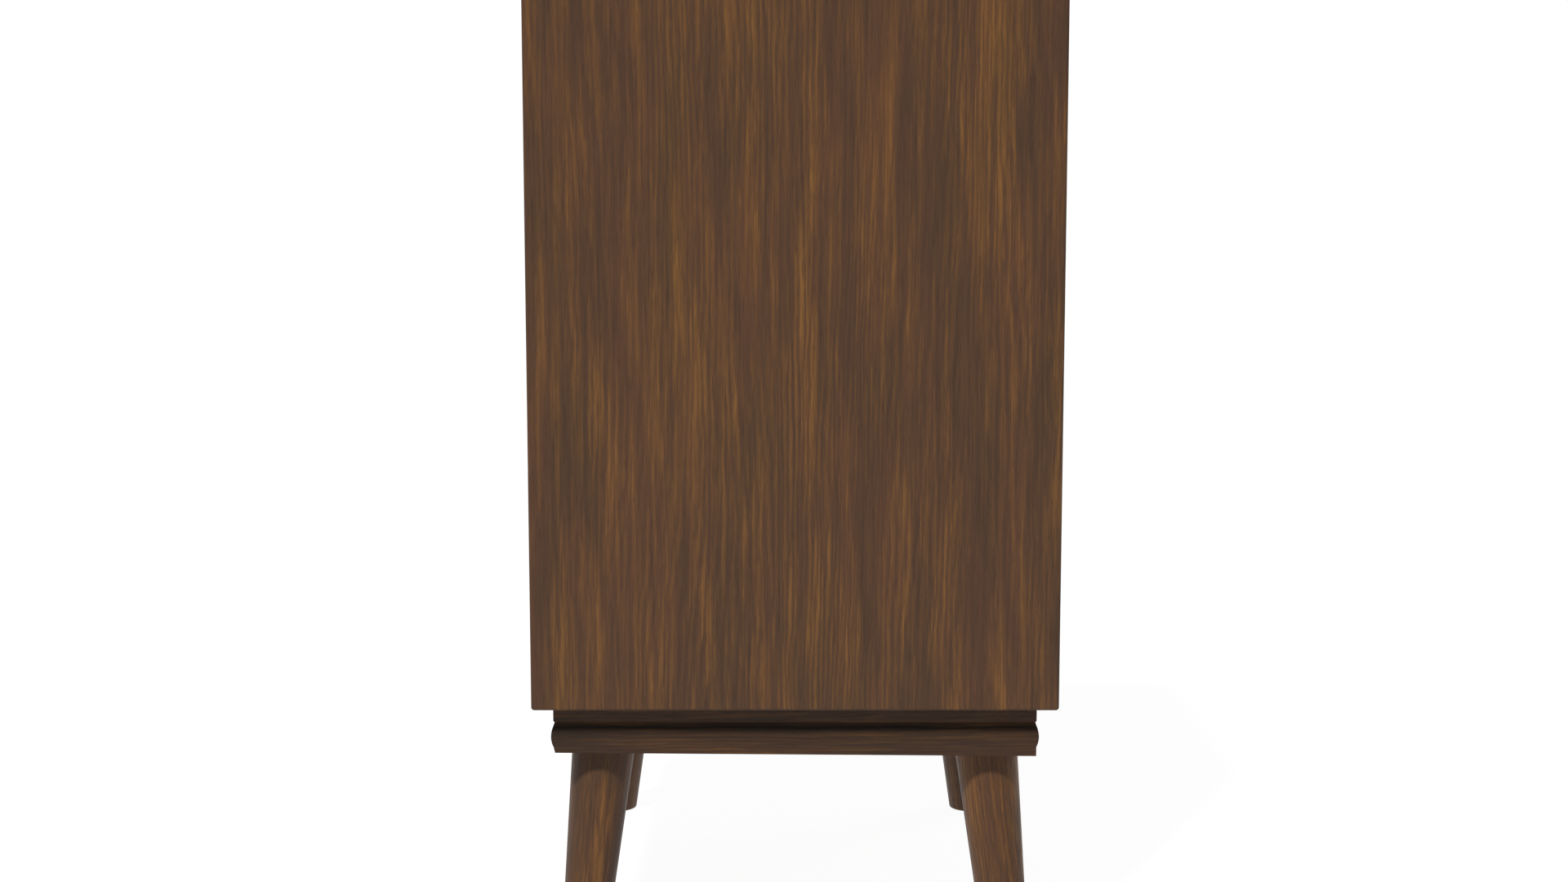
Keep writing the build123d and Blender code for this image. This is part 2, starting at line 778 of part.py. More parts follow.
# ---------------------------------------------------------------- knobs, shafts, pots and tuner
knob_back = plate_front - knob_stand
shaft_in_knob = 10.0
pot_body_radius = 12.0
pot_body_depth = 15.0
pot_flange = 2.0
pot_tail = 10.0  # how far a shaft reaches into its pot
press_gap = 0.03
tuner_half_width = 31.0
tuner_half_height = 33.0
tuner_length = 96.0
tuner_wall = 1.5
tuner_drum_radius = 24.0
tuner_bush_radius = 9.0
channel_count = 12
drum_groove = 2.2


def knob(radius, height, taper, back, bore, bore_depth, x):
    """A round knob with a tapered side, a dished face and a blind bore in its back."""
    front = back - height
    outline = [
        (back, bore),
        (back, radius),
        (front + 1.2, radius - taper),
        (front, radius - taper - 1.2),
        (front, radius * 0.66),
        (front + 0.8, radius * 0.6),
        (front + 0.8, 0),
        (back - bore_depth - 0.2, 0),
        (back - bore_depth - 0.2, bore),
    ]
    return turned(outline, x, control_z)


def pot(x, mount_face, body_radius, bush_front, flange_radius):
    """A potentiometer: a can behind a mounting flange, and a bush bored for the shaft."""
    rear = mount_face + pot_flange + pot_body_depth
    bore = shaft_radius + running_gap
    tail = mount_face + pot_flange + pot_tail + 0.5
    outline = [
        (bush_front, bore),
        (bush_front, pot_bush_radius),
        (mount_face, pot_bush_radius),
        (mount_face, flange_radius),
        (mount_face + pot_flange, flange_radius),
        (mount_face + pot_flange, body_radius),
        (rear, body_radius),
        (rear, 0),
        (tail, 0),
        (tail, bore),
    ]
    return turned(outline, x, control_z)


well_back = well_floor + well_wall
volume_pot = pot(volume_x, baffle_back, pot_body_radius, baffle_front + 2, bush_hole + 3)
preset_pots = [pot(x, well_back, pot_radius, well_floor, pot_radius + 1) for x in preset_places]
save("control_pots", volume_pot, *preset_pots)

volume_shaft_start = knob_back - shaft_in_knob
volume_shaft_end = baffle_back + pot_flange + pot_tail
volume_shaft = rod(
    (volume_x, volume_shaft_start, control_z), (volume_x, volume_shaft_end, control_z), shaft_radius
)
knob_bore = shaft_radius + press_gap
volume_knob = knob(volume_knob_radius, volume_knob_height, 1.6, knob_back, knob_bore, shaft_in_knob, volume_x)
save("volume_shaft", volume_shaft)
save("volume_knob", volume_knob)

preset_back = well_floor - knob_stand
preset_names = ["brightness_knob", "contrast_knob", "vertical_hold_knob", "horizontal_hold_knob"]
for x, node in zip(preset_places, preset_names):
    turned_knob = knob(preset_knob_radius, preset_knob_height, 0.6, preset_back, 1.0, 0.2, x)
    tail_end = well_back + pot_flange + pot_tail
    save(node, turned_knob + rod((x, preset_back - 5, control_z), (x, tail_end, control_z), shaft_radius))

ring_back = knob_back
ring_front = ring_back - tuning_ring_height
channel_back = ring_front - 0.6
sleeve_end = baffle_back + tuner_wall + 8
drum_start = baffle_back + tuner_wall + 12
drum_end = baffle_back + tuner_length - tuner_wall - 8
shaft_end = baffle_back + tuner_length - tuner_wall
save(
    "fine_tuning_ring",
    turned(
        [
            (ring_back, tuning_sleeve_radius + press_gap),
            (ring_back, tuning_ring_radius),
            (ring_front + 1, tuning_ring_radius - 0.5),
            (ring_front, tuning_ring_radius - 1.5),
            (ring_front, tuning_sleeve_radius + press_gap),
        ],
        channel_x,
        control_z,
    ),
)


def channel_rod(start, end, radius):
    """A rod on the channel knob's axis, between two places in Y."""
    return rod((channel_x, start, control_z), (channel_x, end, control_z), radius)


def tuner_turret():
    """The channel shaft with the tuner's drum on it, grooved once for each channel."""
    turret = channel_rod(channel_back - shaft_in_knob, shaft_end + 0.7, shaft_radius)
    turret = turret + channel_rod(drum_start, drum_end, tuner_drum_radius)
    for n in range(channel_count):
        angle = 2 * pi * n / channel_count
        x = channel_x + tuner_drum_radius * cos(angle)
        z = control_z + tuner_drum_radius * sin(angle)
        turret = turret - rod((x, drum_start - 1, z), (x, drum_end + 1, z), drum_groove)
    return turret


sleeve = channel_rod(ring_front, sleeve_end, tuning_sleeve_radius)
save("fine_tuning_sleeve", sleeve - channel_rod(ring_front - 1, sleeve_end + 1, shaft_radius + running_gap))
channel_knob = knob(
    channel_knob_radius, channel_knob_height, 1.4, channel_back, knob_bore, shaft_in_knob, channel_x
)
save("channel_knob", channel_knob)
save("tuner_turret", tuner_turret())


def tuner_box():
    """The tuner's screened box, with a bush in front for the sleeve and a bearing at the back."""
    x = (channel_x - tuner_half_width, channel_x + tuner_half_width)
    y = (baffle_back, baffle_back + tuner_length)
    z = (control_z - tuner_half_height, control_z + tuner_half_height)
    box = block(x, y, z) + channel_rod(baffle_front + 2, y[0] + 1, tuner_bush_radius)
    wall = tuner_wall
    box = box - block((x[0] + wall, x[1] - wall), (y[0] + wall, y[1] - wall), (z[0] + wall, z[1] - wall))
    box = box - channel_rod(baffle_front, y[0] + 9, tuning_sleeve_radius + running_gap)
    return box - channel_rod(y[1] - 9, y[1] - 0.3, shaft_radius + running_gap)


save("tuner_box", tuner_box())

# ---------------------------------------------------------------- grille and loudspeaker
grille_back = baffle_front
grille_front = grille_back - grille_rim_depth
opening_width = control_width - 2 * grille_rim
opening_height = grille_height - 2 * grille_rim
cloth_front = grille_back - cloth_thickness
basket_flange = 1.6
basket_radius = 38.0
cone_depth = 35.0
speaker_screw_circle = speaker_radius - 4.0


def grille_frame():
    """The walnut frame round the grille."""
    frame = plate(control_width, grille_height, 3, (grille_front, grille_back), 0, grille_z)
    frame = fillet(frame.faces().sort_by(Axis.Y)[0].edges(), 2.4)
    return frame - slab(
        Rectangle(opening_width, opening_height), (grille_front - 1, grille_back + 1), 0, grille_z
    )


def slat(x):
    """One upright slat, rounded at its front corners."""
    bar = block(
        (x - slat_width / 2, x + slat_width / 2),
        (cloth_front - slat_depth, cloth_front),
        (grille_z - opening_height / 2, grille_z + opening_height / 2),
    )
    return fillet(bar.faces().sort_by(Axis.Y)[0].edges().filter_by(Axis.Z), 1.6)


slat_pitch = opening_width / (slat_count + 1)
slat_places = [slat_pitch * (n - (slat_count - 1) / 2) for n in range(slat_count)]
save("grille_frame", grille_frame())
cloth_clear = 0.4
cloth_shape = Rectangle(opening_width - cloth_clear, opening_height - cloth_clear)
save("grille_cloth", slab(cloth_shape, (cloth_front, grille_back), 0, grille_z))
save("grille_slats", *[slat(x) for x in slat_places])

speaker_screw_offset = speaker_screw_circle / sqrt(2)
screw_ring = [(x, grille_z + z) for x, z in corners(speaker_screw_offset, speaker_screw_offset)]
basket_back = baffle_back + speaker_depth
basket = turned(
    [
        (baffle_back, speaker_radius),
        (baffle_back + basket_flange, speaker_radius),
        (baffle_back + basket_flange, speaker_radius - 8),
        (basket_back - 4, basket_radius),
        (basket_back, basket_radius),
        (basket_back, 12),
        (basket_back - basket_flange, 12),
        (basket_back - basket_flange, basket_radius - basket_flange),
        (basket_back - 4.6, basket_radius - basket_flange),
        (baffle_back, speaker_radius - 9),
    ],
    0,
    grille_z,
)
for x, z in screw_ring:
    basket = basket - rod((x, baffle_back - 1, z), (x, baffle_back + 4, z), screw_radius + 0.1)
save("speaker_basket", basket)
cone_rim = speaker_radius - 9.1
save(
    "speaker_cone",
    turned(
        [
            (baffle_back, cone_rim),
            (baffle_back + 1.2, cone_rim - 1.4),
            (baffle_back + cone_depth, 13.5),
            (baffle_back + cone_depth, 0),
            (baffle_back + cone_depth - 8, 0),
            (baffle_back + cone_depth - 6, 9),
            (baffle_back + cone_depth - 1.2, 13.5),
            (baffle_back, cone_rim - 0.9),
        ],
        0,
        grille_z,
    ),
)
magnet_back = basket_back + magnet_height
save("speaker_magnet", rod((0, basket_back, grille_z), (0, magnet_back, grille_z), magnet_radius))

# ---------------------------------------------------------------- cleats, posts and shelf
shelf_y = (chassis_front - 12.0, chassis_back + 6.0)
shelf_z = (shelf_top - shelf_thickness, shelf_top)
shelf_cleats = [
    block(
        tuple(sorted((side * (inner_half_width - cleat_thickness), side * inner_half_width))),
        (shelf_y[0] + 6, shelf_y[1]),
        (shelf_z[0] - cleat_height, shelf_z[0]),
    )
    for side in (-1, 1)
]
cleat_middle = inner_half_width - cleat_thickness / 2
baffle_screw_z = [inner_bottom + share * (inner_top - inner_bottom) for share in (0.15, 0.5, 0.85)]
baffle_screw_places = [(side * cleat_middle, z) for side in (-1, 1) for z in baffle_screw_z]
shelf_screw_y = [shelf_y[0] + 30, shelf_y[1] - 30]
shelf_screw_places = [(side * cleat_middle, y) for side in (-1, 1) for y in shelf_screw_y]


def cleat_pieces():
    """All the glued strips and posts, drilled for their screws."""
    strips = baffle_cleats()
    drilled = []
    for strip in strips:
        for x, z in baffle_screw_places:
            strip = strip - rod((x, baffle_back - 1, z), (x, baffle_back + cleat_width + 1, z), screw_hole)
        drilled.append(strip)
    for strip in shelf_cleats:
        for x, y in shelf_screw_places:
            strip = strip - rod((x, y, shelf_z[0] - 9), (x, y, shelf_z[0] + 1), screw_hole)
        drilled.append(strip)
    return drilled + [tube_post(x, z) for x, z in post_places]


def shelf():
    """The plywood shelf that carries the chassis."""
    half = inner_half_width - fit_gap
    board = block((-half, half), shelf_y, shelf_z)
    for x, y in shelf_screw_places:
        board = board - rod((x, y, shelf_z[0] - 1), (x, y, shelf_z[1] + 1), screw_hole)
    return board


save("cleats_and_posts", *cleat_pieces())
save("chassis_shelf", shelf())

baffle = front_baffle()
for x, z in baffle_screw_places:
    baffle = baffle - rod((x, baffle_back - board_bite - 0.3, z), (x, baffle_back + 1, z), screw_hole)
for x, z in screw_ring:
    baffle = baffle - rod((x, baffle_back - speaker_bite - 0.3, z), (x, baffle_back + 1, z), screw_hole)
save("front_baffle", baffle)


# ---------------------------------------------------------------- chassis and what stands on it
def upright(points, x, y, z):
    """A solid turned round an upright axis, from its (height, radius) outline."""
    plane = Plane(origin=(x, y, z), x_dir=(1, 0, 0), z_dir=(0, -1, 0))
    section = make_face(Polyline(*[(radius, height) for height, radius in points], close=True))
    return revolve(plane * section, Axis((x, y, z), (0, 0, 1)))


chassis_x = (-chassis_width / 2, chassis_width / 2)
chassis_y = (chassis_front, chassis_back)
pan = block(chassis_x, chassis_y, (shelf_top, chassis_top))
pan = pan - block(
    (chassis_x[0] + chassis_wall, chassis_x[1] - chassis_wall),
    (chassis_y[0] + chassis_wall, chassis_y[1] - chassis_wall),
    (shelf_top - 1, chassis_top - chassis_wall),
)
save("chassis_pan", pan)

socket_radius = 12.0
socket_height = 6.0
valve_radius = 10.5
valve_height = 52.0
valve_pitch = 44.0
valve_columns = 6
valve_rows = [chassis_front + 34.0, chassis_front + 84.0]
valve_places = [
    (valve_pitch * (n - (valve_columns - 1) / 2), y) for y in valve_rows for n in range(valve_columns)
]
save(
    "valve_sockets",
    *[rod((x, y, chassis_top), (x, y, chassis_top + socket_height), socket_radius) for x, y in valve_places],
)
valve_outline = [
    (0, 0),
    (0, valve_radius - 1.5),
    (3, valve_radius),
    (valve_height - 9, valve_radius),
    (valve_height - 3, valve_radius - 4),
    (valve_height, 2),
    (valve_height, 0),
]
save("valves", *[upright(valve_outline, x, y, chassis_top + socket_height) for x, y in valve_places])

can_radius = 17.0
can_height = 74.0
can_y = chassis_back - 34.0
can_outline = [
    (0, 0),
    (0, can_radius),
    (can_height - 2, can_radius),
    (can_height, can_radius - 2),
    (can_height, 0),
]
save("capacitor_cans", *[upright(can_outline, x, can_y, chassis_top) for x in (-12.0, 32.0, 76.0)])

core_width = 84.0
core_depth = 62.0
core_height = 70.0
winding_stand = 13.0
transformer_x = chassis_x[0] + core_width / 2 + 14.0
transformer_y = chassis_back - core_depth / 2 - winding_stand - 10.0
core = block(
    (transformer_x - core_width / 2, transformer_x + core_width / 2),
    (transformer_y - core_depth / 2, transformer_y + core_depth / 2),
    (chassis_top, chassis_top + core_height),
)
winding = block(
    (transformer_x - core_width / 4, transformer_x + core_width / 4),
    (transformer_y - core_depth / 2 - winding_stand, transformer_y + core_depth / 2 + winding_stand),
    (chassis_top + core_height / 5, chassis_top + core_height * 4 / 5),
)
save("power_transformer", core + winding)

line_x = chassis_x[1] - 46.0
line_y = chassis_back - 62.0
line_core_height = 72.0
line_limb = 14.0
line_coil_radius = 25.0
line_coil_height = 16.0
line_half_width = 30.0
line_half_depth = 8.0
line_top = chassis_top + line_core_height
line_x_span = (line_x - line_half_width, line_x + line_half_width)
line_core = block(line_x_span, (line_y - line_half_depth, line_y + line_half_depth), (chassis_top, line_top))
line_core = line_core - block(
    (line_x_span[0] + line_limb, line_x_span[1] + 10),
    (line_y - line_half_depth - 1, line_y + line_half_depth + 1),
    (chassis_top + line_limb, line_top - line_limb),
)
line_limb_x = line_x_span[1] - line_limb + 2
line_middle = (chassis_top + line_top) / 2
line_post_z = (chassis_top + line_limb - 1, line_top - line_limb + 1)
line_post = rod((line_limb_x, line_y, line_post_z[0]), (line_limb_x, line_y, line_post_z[1]), line_limb / 2)
line_coil = rod(
    (line_limb_x, line_y, line_middle - line_coil_height / 2),
    (line_limb_x, line_y, line_middle + line_coil_height / 2),
    line_coil_radius,
)
save("line_transformer", joined([line_core, line_post, line_coil]))

# ---------------------------------------------------------------- back cover and what is on it
vent_width = 6.0
vent_height = 44.0
vent_pitch = 16.0
terminal_width = 56.0
terminal_height = 22.0
terminal_x = 120.0
terminal_z = control_z + 96.0
inlet_width = 34.0
inlet_height = 18.0
inlet_flange = 4.0
inlet_depth = 18.0
inlet_wall = 2.0
inlet_pin_radius = 1.6
inlet_pin_length = 9.0
inlet_pin_spread = 6.5
inlet_x = -120.0
inlet_z = shelf_top + chassis_height / 2
cover_half_width = back_half_width - fit_gap
cover_low = inner_bottom - back_rabbet_width + fit_gap
cover_high = inner_top + back_rabbet_width - fit_gap
vent_rows = [
    (inner_bottom + 60.0, 17),
    (inner_bottom + 120.0, 17),
    (screen_z - 30.0, 9),
    (screen_z + 30.0, 9),
    (inner_top - 50.0, 17),
]


def vent_slots():
    """The cover's ventilation slots, in level rows."""
    slots = []
    for z, count in vent_rows:
        for n in range(count):
            x = vent_pitch * (n - (count - 1) / 2)
            shape = Rot(0, 0, 90) * SlotOverall(vent_height, vent_width)
            slots.append(slab(shape, (back_front - 1, back_rear + 1), x, z))
    return slots


def back_cover():
    """The hardboard back, slotted, with openings for the aerial terminals and the inlet."""
    height = cover_high - cover_low
    middle = (cover_high + cover_low) / 2
    board = slab(Rectangle(2 * cover_half_width, height), (back_front, back_rear), 0, middle)
    board = board - vent_slots()
    through = (back_front - 1, back_rear + 1)
    board = board - slab(Rectangle(terminal_width, terminal_height), through, terminal_x, terminal_z)
    board = board - slab(Rectangle(inlet_width + 0.4, inlet_height + 0.4), through, inlet_x, inlet_z)
    for x, z in back_screw_places:
        board = board - rod((x, back_front - 1, z), (x, back_rear + 1, z), screw_hole)
    return board


def aerial_terminals():
    """A board behind its opening, with two terminal screws standing in it."""
    lap = 5.0
    thickness = 3.0
    y = (back_front - thickness, back_front)
    board = slab(Rectangle(terminal_width + 2 * lap, terminal_height + 2 * lap), y, terminal_x, terminal_z)
    for side in (-1, 1):
        x = terminal_x + side * terminal_width / 4
        board = board + rod((x, back_front - 1, terminal_z), (x, back_rear, terminal_z), 3.6)
    return board


def mains_inlet():
    """The mains inlet: a moulded cup in the cover, with two pins in it."""
    x = (inlet_x - inlet_width / 2, inlet_x + inlet_width / 2)
    z = (inlet_z - inlet_height / 2, inlet_z + inlet_height / 2)
    face = back_rear + 1.4
    floor = face - inlet_depth
    cup = block(x, (floor - 3, face), z)
    lip = inlet_flange
    cup = cup + block((x[0] - lip, x[1] + lip), (back_rear, face), (z[0] - lip, z[1] + lip))
    wall = inlet_wall
    cup = cup - block((x[0] + wall, x[1] - wall), (floor, face + 1), (z[0] + wall, z[1] - wall))
    for side in (-1, 1):
        px = inlet_x + side * inlet_pin_spread
        cup = cup + rod((px, floor - 1, inlet_z), (px, floor + inlet_pin_length, inlet_z), inlet_pin_radius)
    return cup


save("back_cover", back_cover())
save("aerial_terminals", aerial_terminals())
save("mains_inlet", mains_inlet())


# ---------------------------------------------------------------- wood screws
def screw(head_face, tip, x, z):
    """A round-headed screw along Y: its head's underside and its tip."""
    way = 1 if head_face > tip else -1
    shank = rod((x, tip, z), (x, head_face, z), screw_radius)
    return shank + rod((x, head_face, z), (x, head_face + way * screw_head_height, z), screw_head_radius)


def shelf_screw(x, y):
    """A screw down through the shelf into its cleat."""
    shank = rod((x, y, shelf_z[0] - 8.5), (x, y, shelf_z[1]), screw_radius)
    return shank + rod((x, y, shelf_z[1]), (x, y, shelf_z[1] + screw_head_height), screw_head_radius)


screws = [screw(back_rear, back_front - back_screw_shank, x, z) for x, z in back_screw_places]
screws += [screw(baffle_back + cleat_width, baffle_back - board_bite, x, z) for x, z in baffle_screw_places]
screws += [screw(baffle_back + basket_flange, baffle_back - speaker_bite, x, z) for x, z in screw_ring]
screws += [shelf_screw(x, y) for x, y in shelf_screw_places]
save("wood_screws", *screws)


# ---------------------------------------------------------------- leads inside the set
def lead(points, radius):
    """A lead along straight runs joined by arcs as large as the runs allow."""
    spots = [Vector(*point) for point in points]
    bends = []
    for before, corner, after in zip(spots, spots[1:], spots[2:]):
        turn = radians((corner - before).get_angle(after - corner))
        shorter = min((corner - before).length, (after - corner).length)
        bends.append(0.45 * shorter * cos(turn / 2) / sin(turn / 2))
    path = FilletPolyline(*spots, radius=bends)
    plane = Plane(origin=spots[0], z_dir=spots[1] - spots[0])
    return sweep(plane * Circle(radius), path=path)


anode_x = tube_width / 2 - 46.0
anode_y = funnel_start + 30.0
anode_cap_radius = 14.0
anode_z = screen_z
cap_reach = 26.0
anode_cap = rod((anode_x - 12, anode_y, anode_z), (anode_x + cap_reach, anode_y, anode_z), anode_cap_radius)
anode_cap = anode_cap - tube_form(0, 0, 0)
anode_cap = anode_cap.solids().sort_by(Axis.X)[-1]
anode_start = anode_x + cap_reach
anode_lead = lead(
    [
        (anode_start, anode_y, anode_z),
        (anode_start + 12, anode_y + 20, anode_z - 6),
        (anode_start + 8, anode_y + 62, anode_z - 34),
        (anode_start - 14, anode_y + 104, anode_z - 74),
        (line_x, line_y, anode_z - 104),
        (line_x, line_y, line_top),
    ],
    2.0,
)
socket_lead = lead(
    [
        (0, socket_back, screen_z),
        (0, socket_back + 16, screen_z),
        (2, socket_back + 14, screen_z - 40),
        (8, socket_back - 6, screen_z - 84),
        (10, socket_back - 22, chassis_top + 44),
        (10, socket_back - 22, chassis_top),
    ],
    3.2,
)
lead_rise_y = shelf_y[0] - 14.0
speaker_lead = lead(
    [
        (0, magnet_back, grille_z),
        (0, magnet_back + 16, grille_z),
        (4, magnet_back + 34, grille_z + 40),
        (8, lead_rise_y, shelf_top - 8),
        (8, lead_rise_y, shelf_top + 24),
        (8, chassis_front, shelf_top + 24),
    ],
    2.0,
)
save("internal_leads", anode_cap + anode_lead, socket_lead, speaker_lead)
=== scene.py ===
import bmesh
import bpy
import math
import random
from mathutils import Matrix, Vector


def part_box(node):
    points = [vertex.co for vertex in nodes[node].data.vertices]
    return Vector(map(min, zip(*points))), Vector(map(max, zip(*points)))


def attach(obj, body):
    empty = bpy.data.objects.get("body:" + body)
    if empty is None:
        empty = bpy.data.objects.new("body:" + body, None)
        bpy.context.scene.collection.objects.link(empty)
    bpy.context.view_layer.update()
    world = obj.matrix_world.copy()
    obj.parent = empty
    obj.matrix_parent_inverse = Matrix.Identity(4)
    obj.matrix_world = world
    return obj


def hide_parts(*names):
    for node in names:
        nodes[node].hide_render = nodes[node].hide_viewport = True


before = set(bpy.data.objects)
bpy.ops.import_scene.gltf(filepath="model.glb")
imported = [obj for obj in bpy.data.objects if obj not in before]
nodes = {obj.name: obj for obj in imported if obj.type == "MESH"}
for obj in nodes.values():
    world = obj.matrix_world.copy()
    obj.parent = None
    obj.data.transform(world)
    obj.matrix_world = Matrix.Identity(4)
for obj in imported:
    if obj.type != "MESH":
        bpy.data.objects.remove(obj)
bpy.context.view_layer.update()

# ---------------------------------------------------------------- studio
# A pale floor that runs into a white surround, a camera level with the case's middle, looking
# down a little at its right side, a high key light from the front and softer light from behind.
side_low, side_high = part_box("right_side_panel")
camera_data = bpy.data.cameras.new("camera")
camera_data.sensor_width = 36.0
camera_data.lens = 52.875
camera = bpy.data.objects.new("camera", camera_data)
camera_away = 1.9166
camera_across = -0.0094
camera_up = 0.4727
camera_dip = 7.19
camera.location = (side_high.x + camera_away, camera_across, side_low.z + camera_up)
camera.rotation_euler = (math.radians(90 - camera_dip), 0, math.radians(90))
bpy.context.scene.collection.objects.link(camera)
bpy.context.scene.camera = camera
bpy.context.scene.view_settings.view_transform = "Standard"

room_light, seen_white = 0.2, 1.05
surround = bpy.data.worlds.new("surround")
surround.use_nodes = True
sky = surround.node_tree
sky_light = sky.nodes["Background"]
sky_light.inputs["Color"].default_value = (1, 1, 1, 1)
sky_light.inputs["Strength"].default_value = room_light
sky_white = sky.nodes.new("ShaderNodeBackground")
sky_white.inputs["Color"].default_value = (1, 1, 1, 1)
sky_white.inputs["Strength"].default_value = seen_white
seen = sky.nodes.new("ShaderNodeLightPath")
sky_mix = sky.nodes.new("ShaderNodeMixShader")
sky.links.new(seen.outputs["Is Camera Ray"], sky_mix.inputs["Fac"])
sky.links.new(sky_light.outputs["Background"], sky_mix.inputs[1])
sky.links.new(sky_white.outputs["Background"], sky_mix.inputs[2])
sky.links.new(sky_mix.outputs["Shader"], sky.nodes["World Output"].inputs["Surface"])
bpy.context.scene.world = surround


def sun(name, toward, strength, softness):
    """A distant lamp that shines from a direction. Its softness is the angle that it fills."""
    lamp = bpy.data.lights.new(name, "SUN")
    lamp.energy = strength
    lamp.angle = math.radians(softness)
    thing = bpy.data.objects.new(name, lamp)
    thing.location = toward
    thing.rotation_euler = thing.location.to_track_quat("Z", "Y").to_euler()
    bpy.context.scene.collection.objects.link(thing)


sun("key_light", toward=(1.6, -0.85, 2.5), strength=4.4, softness=6)
sun("back_light", toward=(-1.6, 2.2, 1.6), strength=1.1, softness=30)

floor_half_width = 12
floor_mesh = bpy.data.meshes.new("floor")
floor_shape = bmesh.new()
bmesh.ops.create_grid(floor_shape, x_segments=1, y_segments=1, size=floor_half_width)
floor_shape.to_mesh(floor_mesh)
floor_shape.free()
floor = bpy.data.objects.new("floor", floor_mesh)
bpy.context.scene.collection.objects.link(floor)


# ---------------------------------------------------------------- case
# Four boards veneered in straight-grained walnut, mitred and glued at the corners. The edges
# are rounded over, rubbed down and given a satin lacquer that leaves the pores open.


def linear(level):
    """One colour level, as a paint chart gives it out of 255, as light."""
    level = level / 255
    return level / 12.92 if level <= 0.04045 else ((level + 0.055) / 1.055) ** 2.4


def stain(red, green, blue):
    """A colour as a paint chart gives it."""
    return (linear(red), linear(green), linear(blue), 1)


def add(tree, kind, inputs=None, **settings):
    """A node in a finish, with its settings, and with its inputs set or linked."""
    node = tree.nodes.new(kind)
    for key, value in settings.items():
        setattr(node, key, value)
    for key, value in (inputs or {}).items():
        if isinstance(value, bpy.types.NodeSocket):
            tree.links.new(value, node.inputs[key])
        else:
            node.inputs[key].default_value = value
    return node


def new_finish(name, roughness=0.5, **plain):
    """A finish whose shader's plain numbers are set. Gives the finish, its nodes and its shader."""
    finish = bpy.data.materials.new(name)
    finish.use_nodes = True
    shader = finish.node_tree.nodes["Principled BSDF"]
    shader.inputs["Roughness"].default_value = roughness
    for key, value in plain.items():
        shader.inputs[key.replace("_", " ").title().replace("Ior", "IOR")].default_value = value
    return finish, finish.node_tree, shader


def number(tree, operation, first, second=0.0, third=0.0):
    """One step of arithmetic between values in a finish."""
    node = add(tree, "ShaderNodeMath", {0: first, 1: second, 2: third}, operation=operation)
    return node.outputs[0]


def spread(tree, value, low, high, start=0.0, end=1.0):
    """A value between two limits, spread over a wider or narrower range."""
    limits = {"Value": value, "From Min": low, "From Max": high, "To Min": start, "To Max": end}
    return add(tree, "ShaderNodeMapRange", limits).outputs[0]


def mix(tree, share, first, second, blend="MIX"):
    """Two colours mixed by a share."""
    node = add(tree, "ShaderNodeMix", {0: share, 6: first, 7: second}, data_type="RGBA", blend_type=blend)
    return node.outputs[2]


def ramp(tree, value, stops):
    """A colour chosen along a list of (place, colour)."""
    node = add(tree, "ShaderNodeValToRGB", {"Fac": value})
    while len(node.color_ramp.elements) < len(stops):
        node.color_ramp.elements.new(0.5)
    for element, (place, colour) in zip(node.color_ramp.elements, stops):
        element.position = place
        element.color = colour
    return node.outputs["Color"]


def noise(tree, where, detail=2.0, roughness=0.5, distortion=0.0, output="Fac"):
    """A cloudy pattern at a place in a finish."""
    inputs = {"Vector": where, "Scale": 1.0, "Detail": detail, "Roughness": roughness}
    return add(tree, "ShaderNodeTexNoise", {**inputs, "Distortion": distortion}).outputs[output]


def scaled(tree, where, across, lengthways, along):
    """A place stretched for a pattern: so many features a metre across, and so many along."""
    scale = [across] * 3
    scale[along] = lengthways
    return add(tree, "ShaderNodeMapping", {"Vector": where, "Scale": scale}).outputs[0]


def bump(tree, shader, height, depth, strength=1.0):
    """Relief in a finish, so many metres deep."""
    node = add(tree, "ShaderNodeBump", {"Height": height, "Distance": depth, "Strength": strength})
    tree.links.new(node.outputs[0], shader.inputs["Normal"])


def put_on(finish, *names):
    """Gives parts of the set their finish."""
    for name in names:
        mesh = nodes[name].data
        mesh.materials.clear()
        mesh.materials.append(finish)


ALONG_X, ALONG_Y, ALONG_Z = 0, 1, 2


def mitred(tree, place, half_width, half_height, middle):
    """A place in a frame's wood, turned at the frame's mitres as the grain is."""
    parts = add(tree, "ShaderNodeSeparateXYZ", {0: place}).outputs
    past_side = number(tree, "SUBTRACT", number(tree, "ABSOLUTE", parts["X"]), half_width)
    past_top = number(tree, "ABSOLUTE", number(tree, "SUBTRACT", parts["Z"], middle))
    past_top = number(tree, "SUBTRACT", past_top, half_height)
    upright = number(tree, "GREATER_THAN", past_side, past_top)
    turned = {"X": parts["Z"], "Y": parts["Y"], "Z": parts["X"]}
    turned = add(tree, "ShaderNodeCombineXYZ", turned).outputs[0]
    return add(tree, "ShaderNodeMix", {0: upright, 4: place, 5: turned}, data_type="VECTOR").outputs[1]


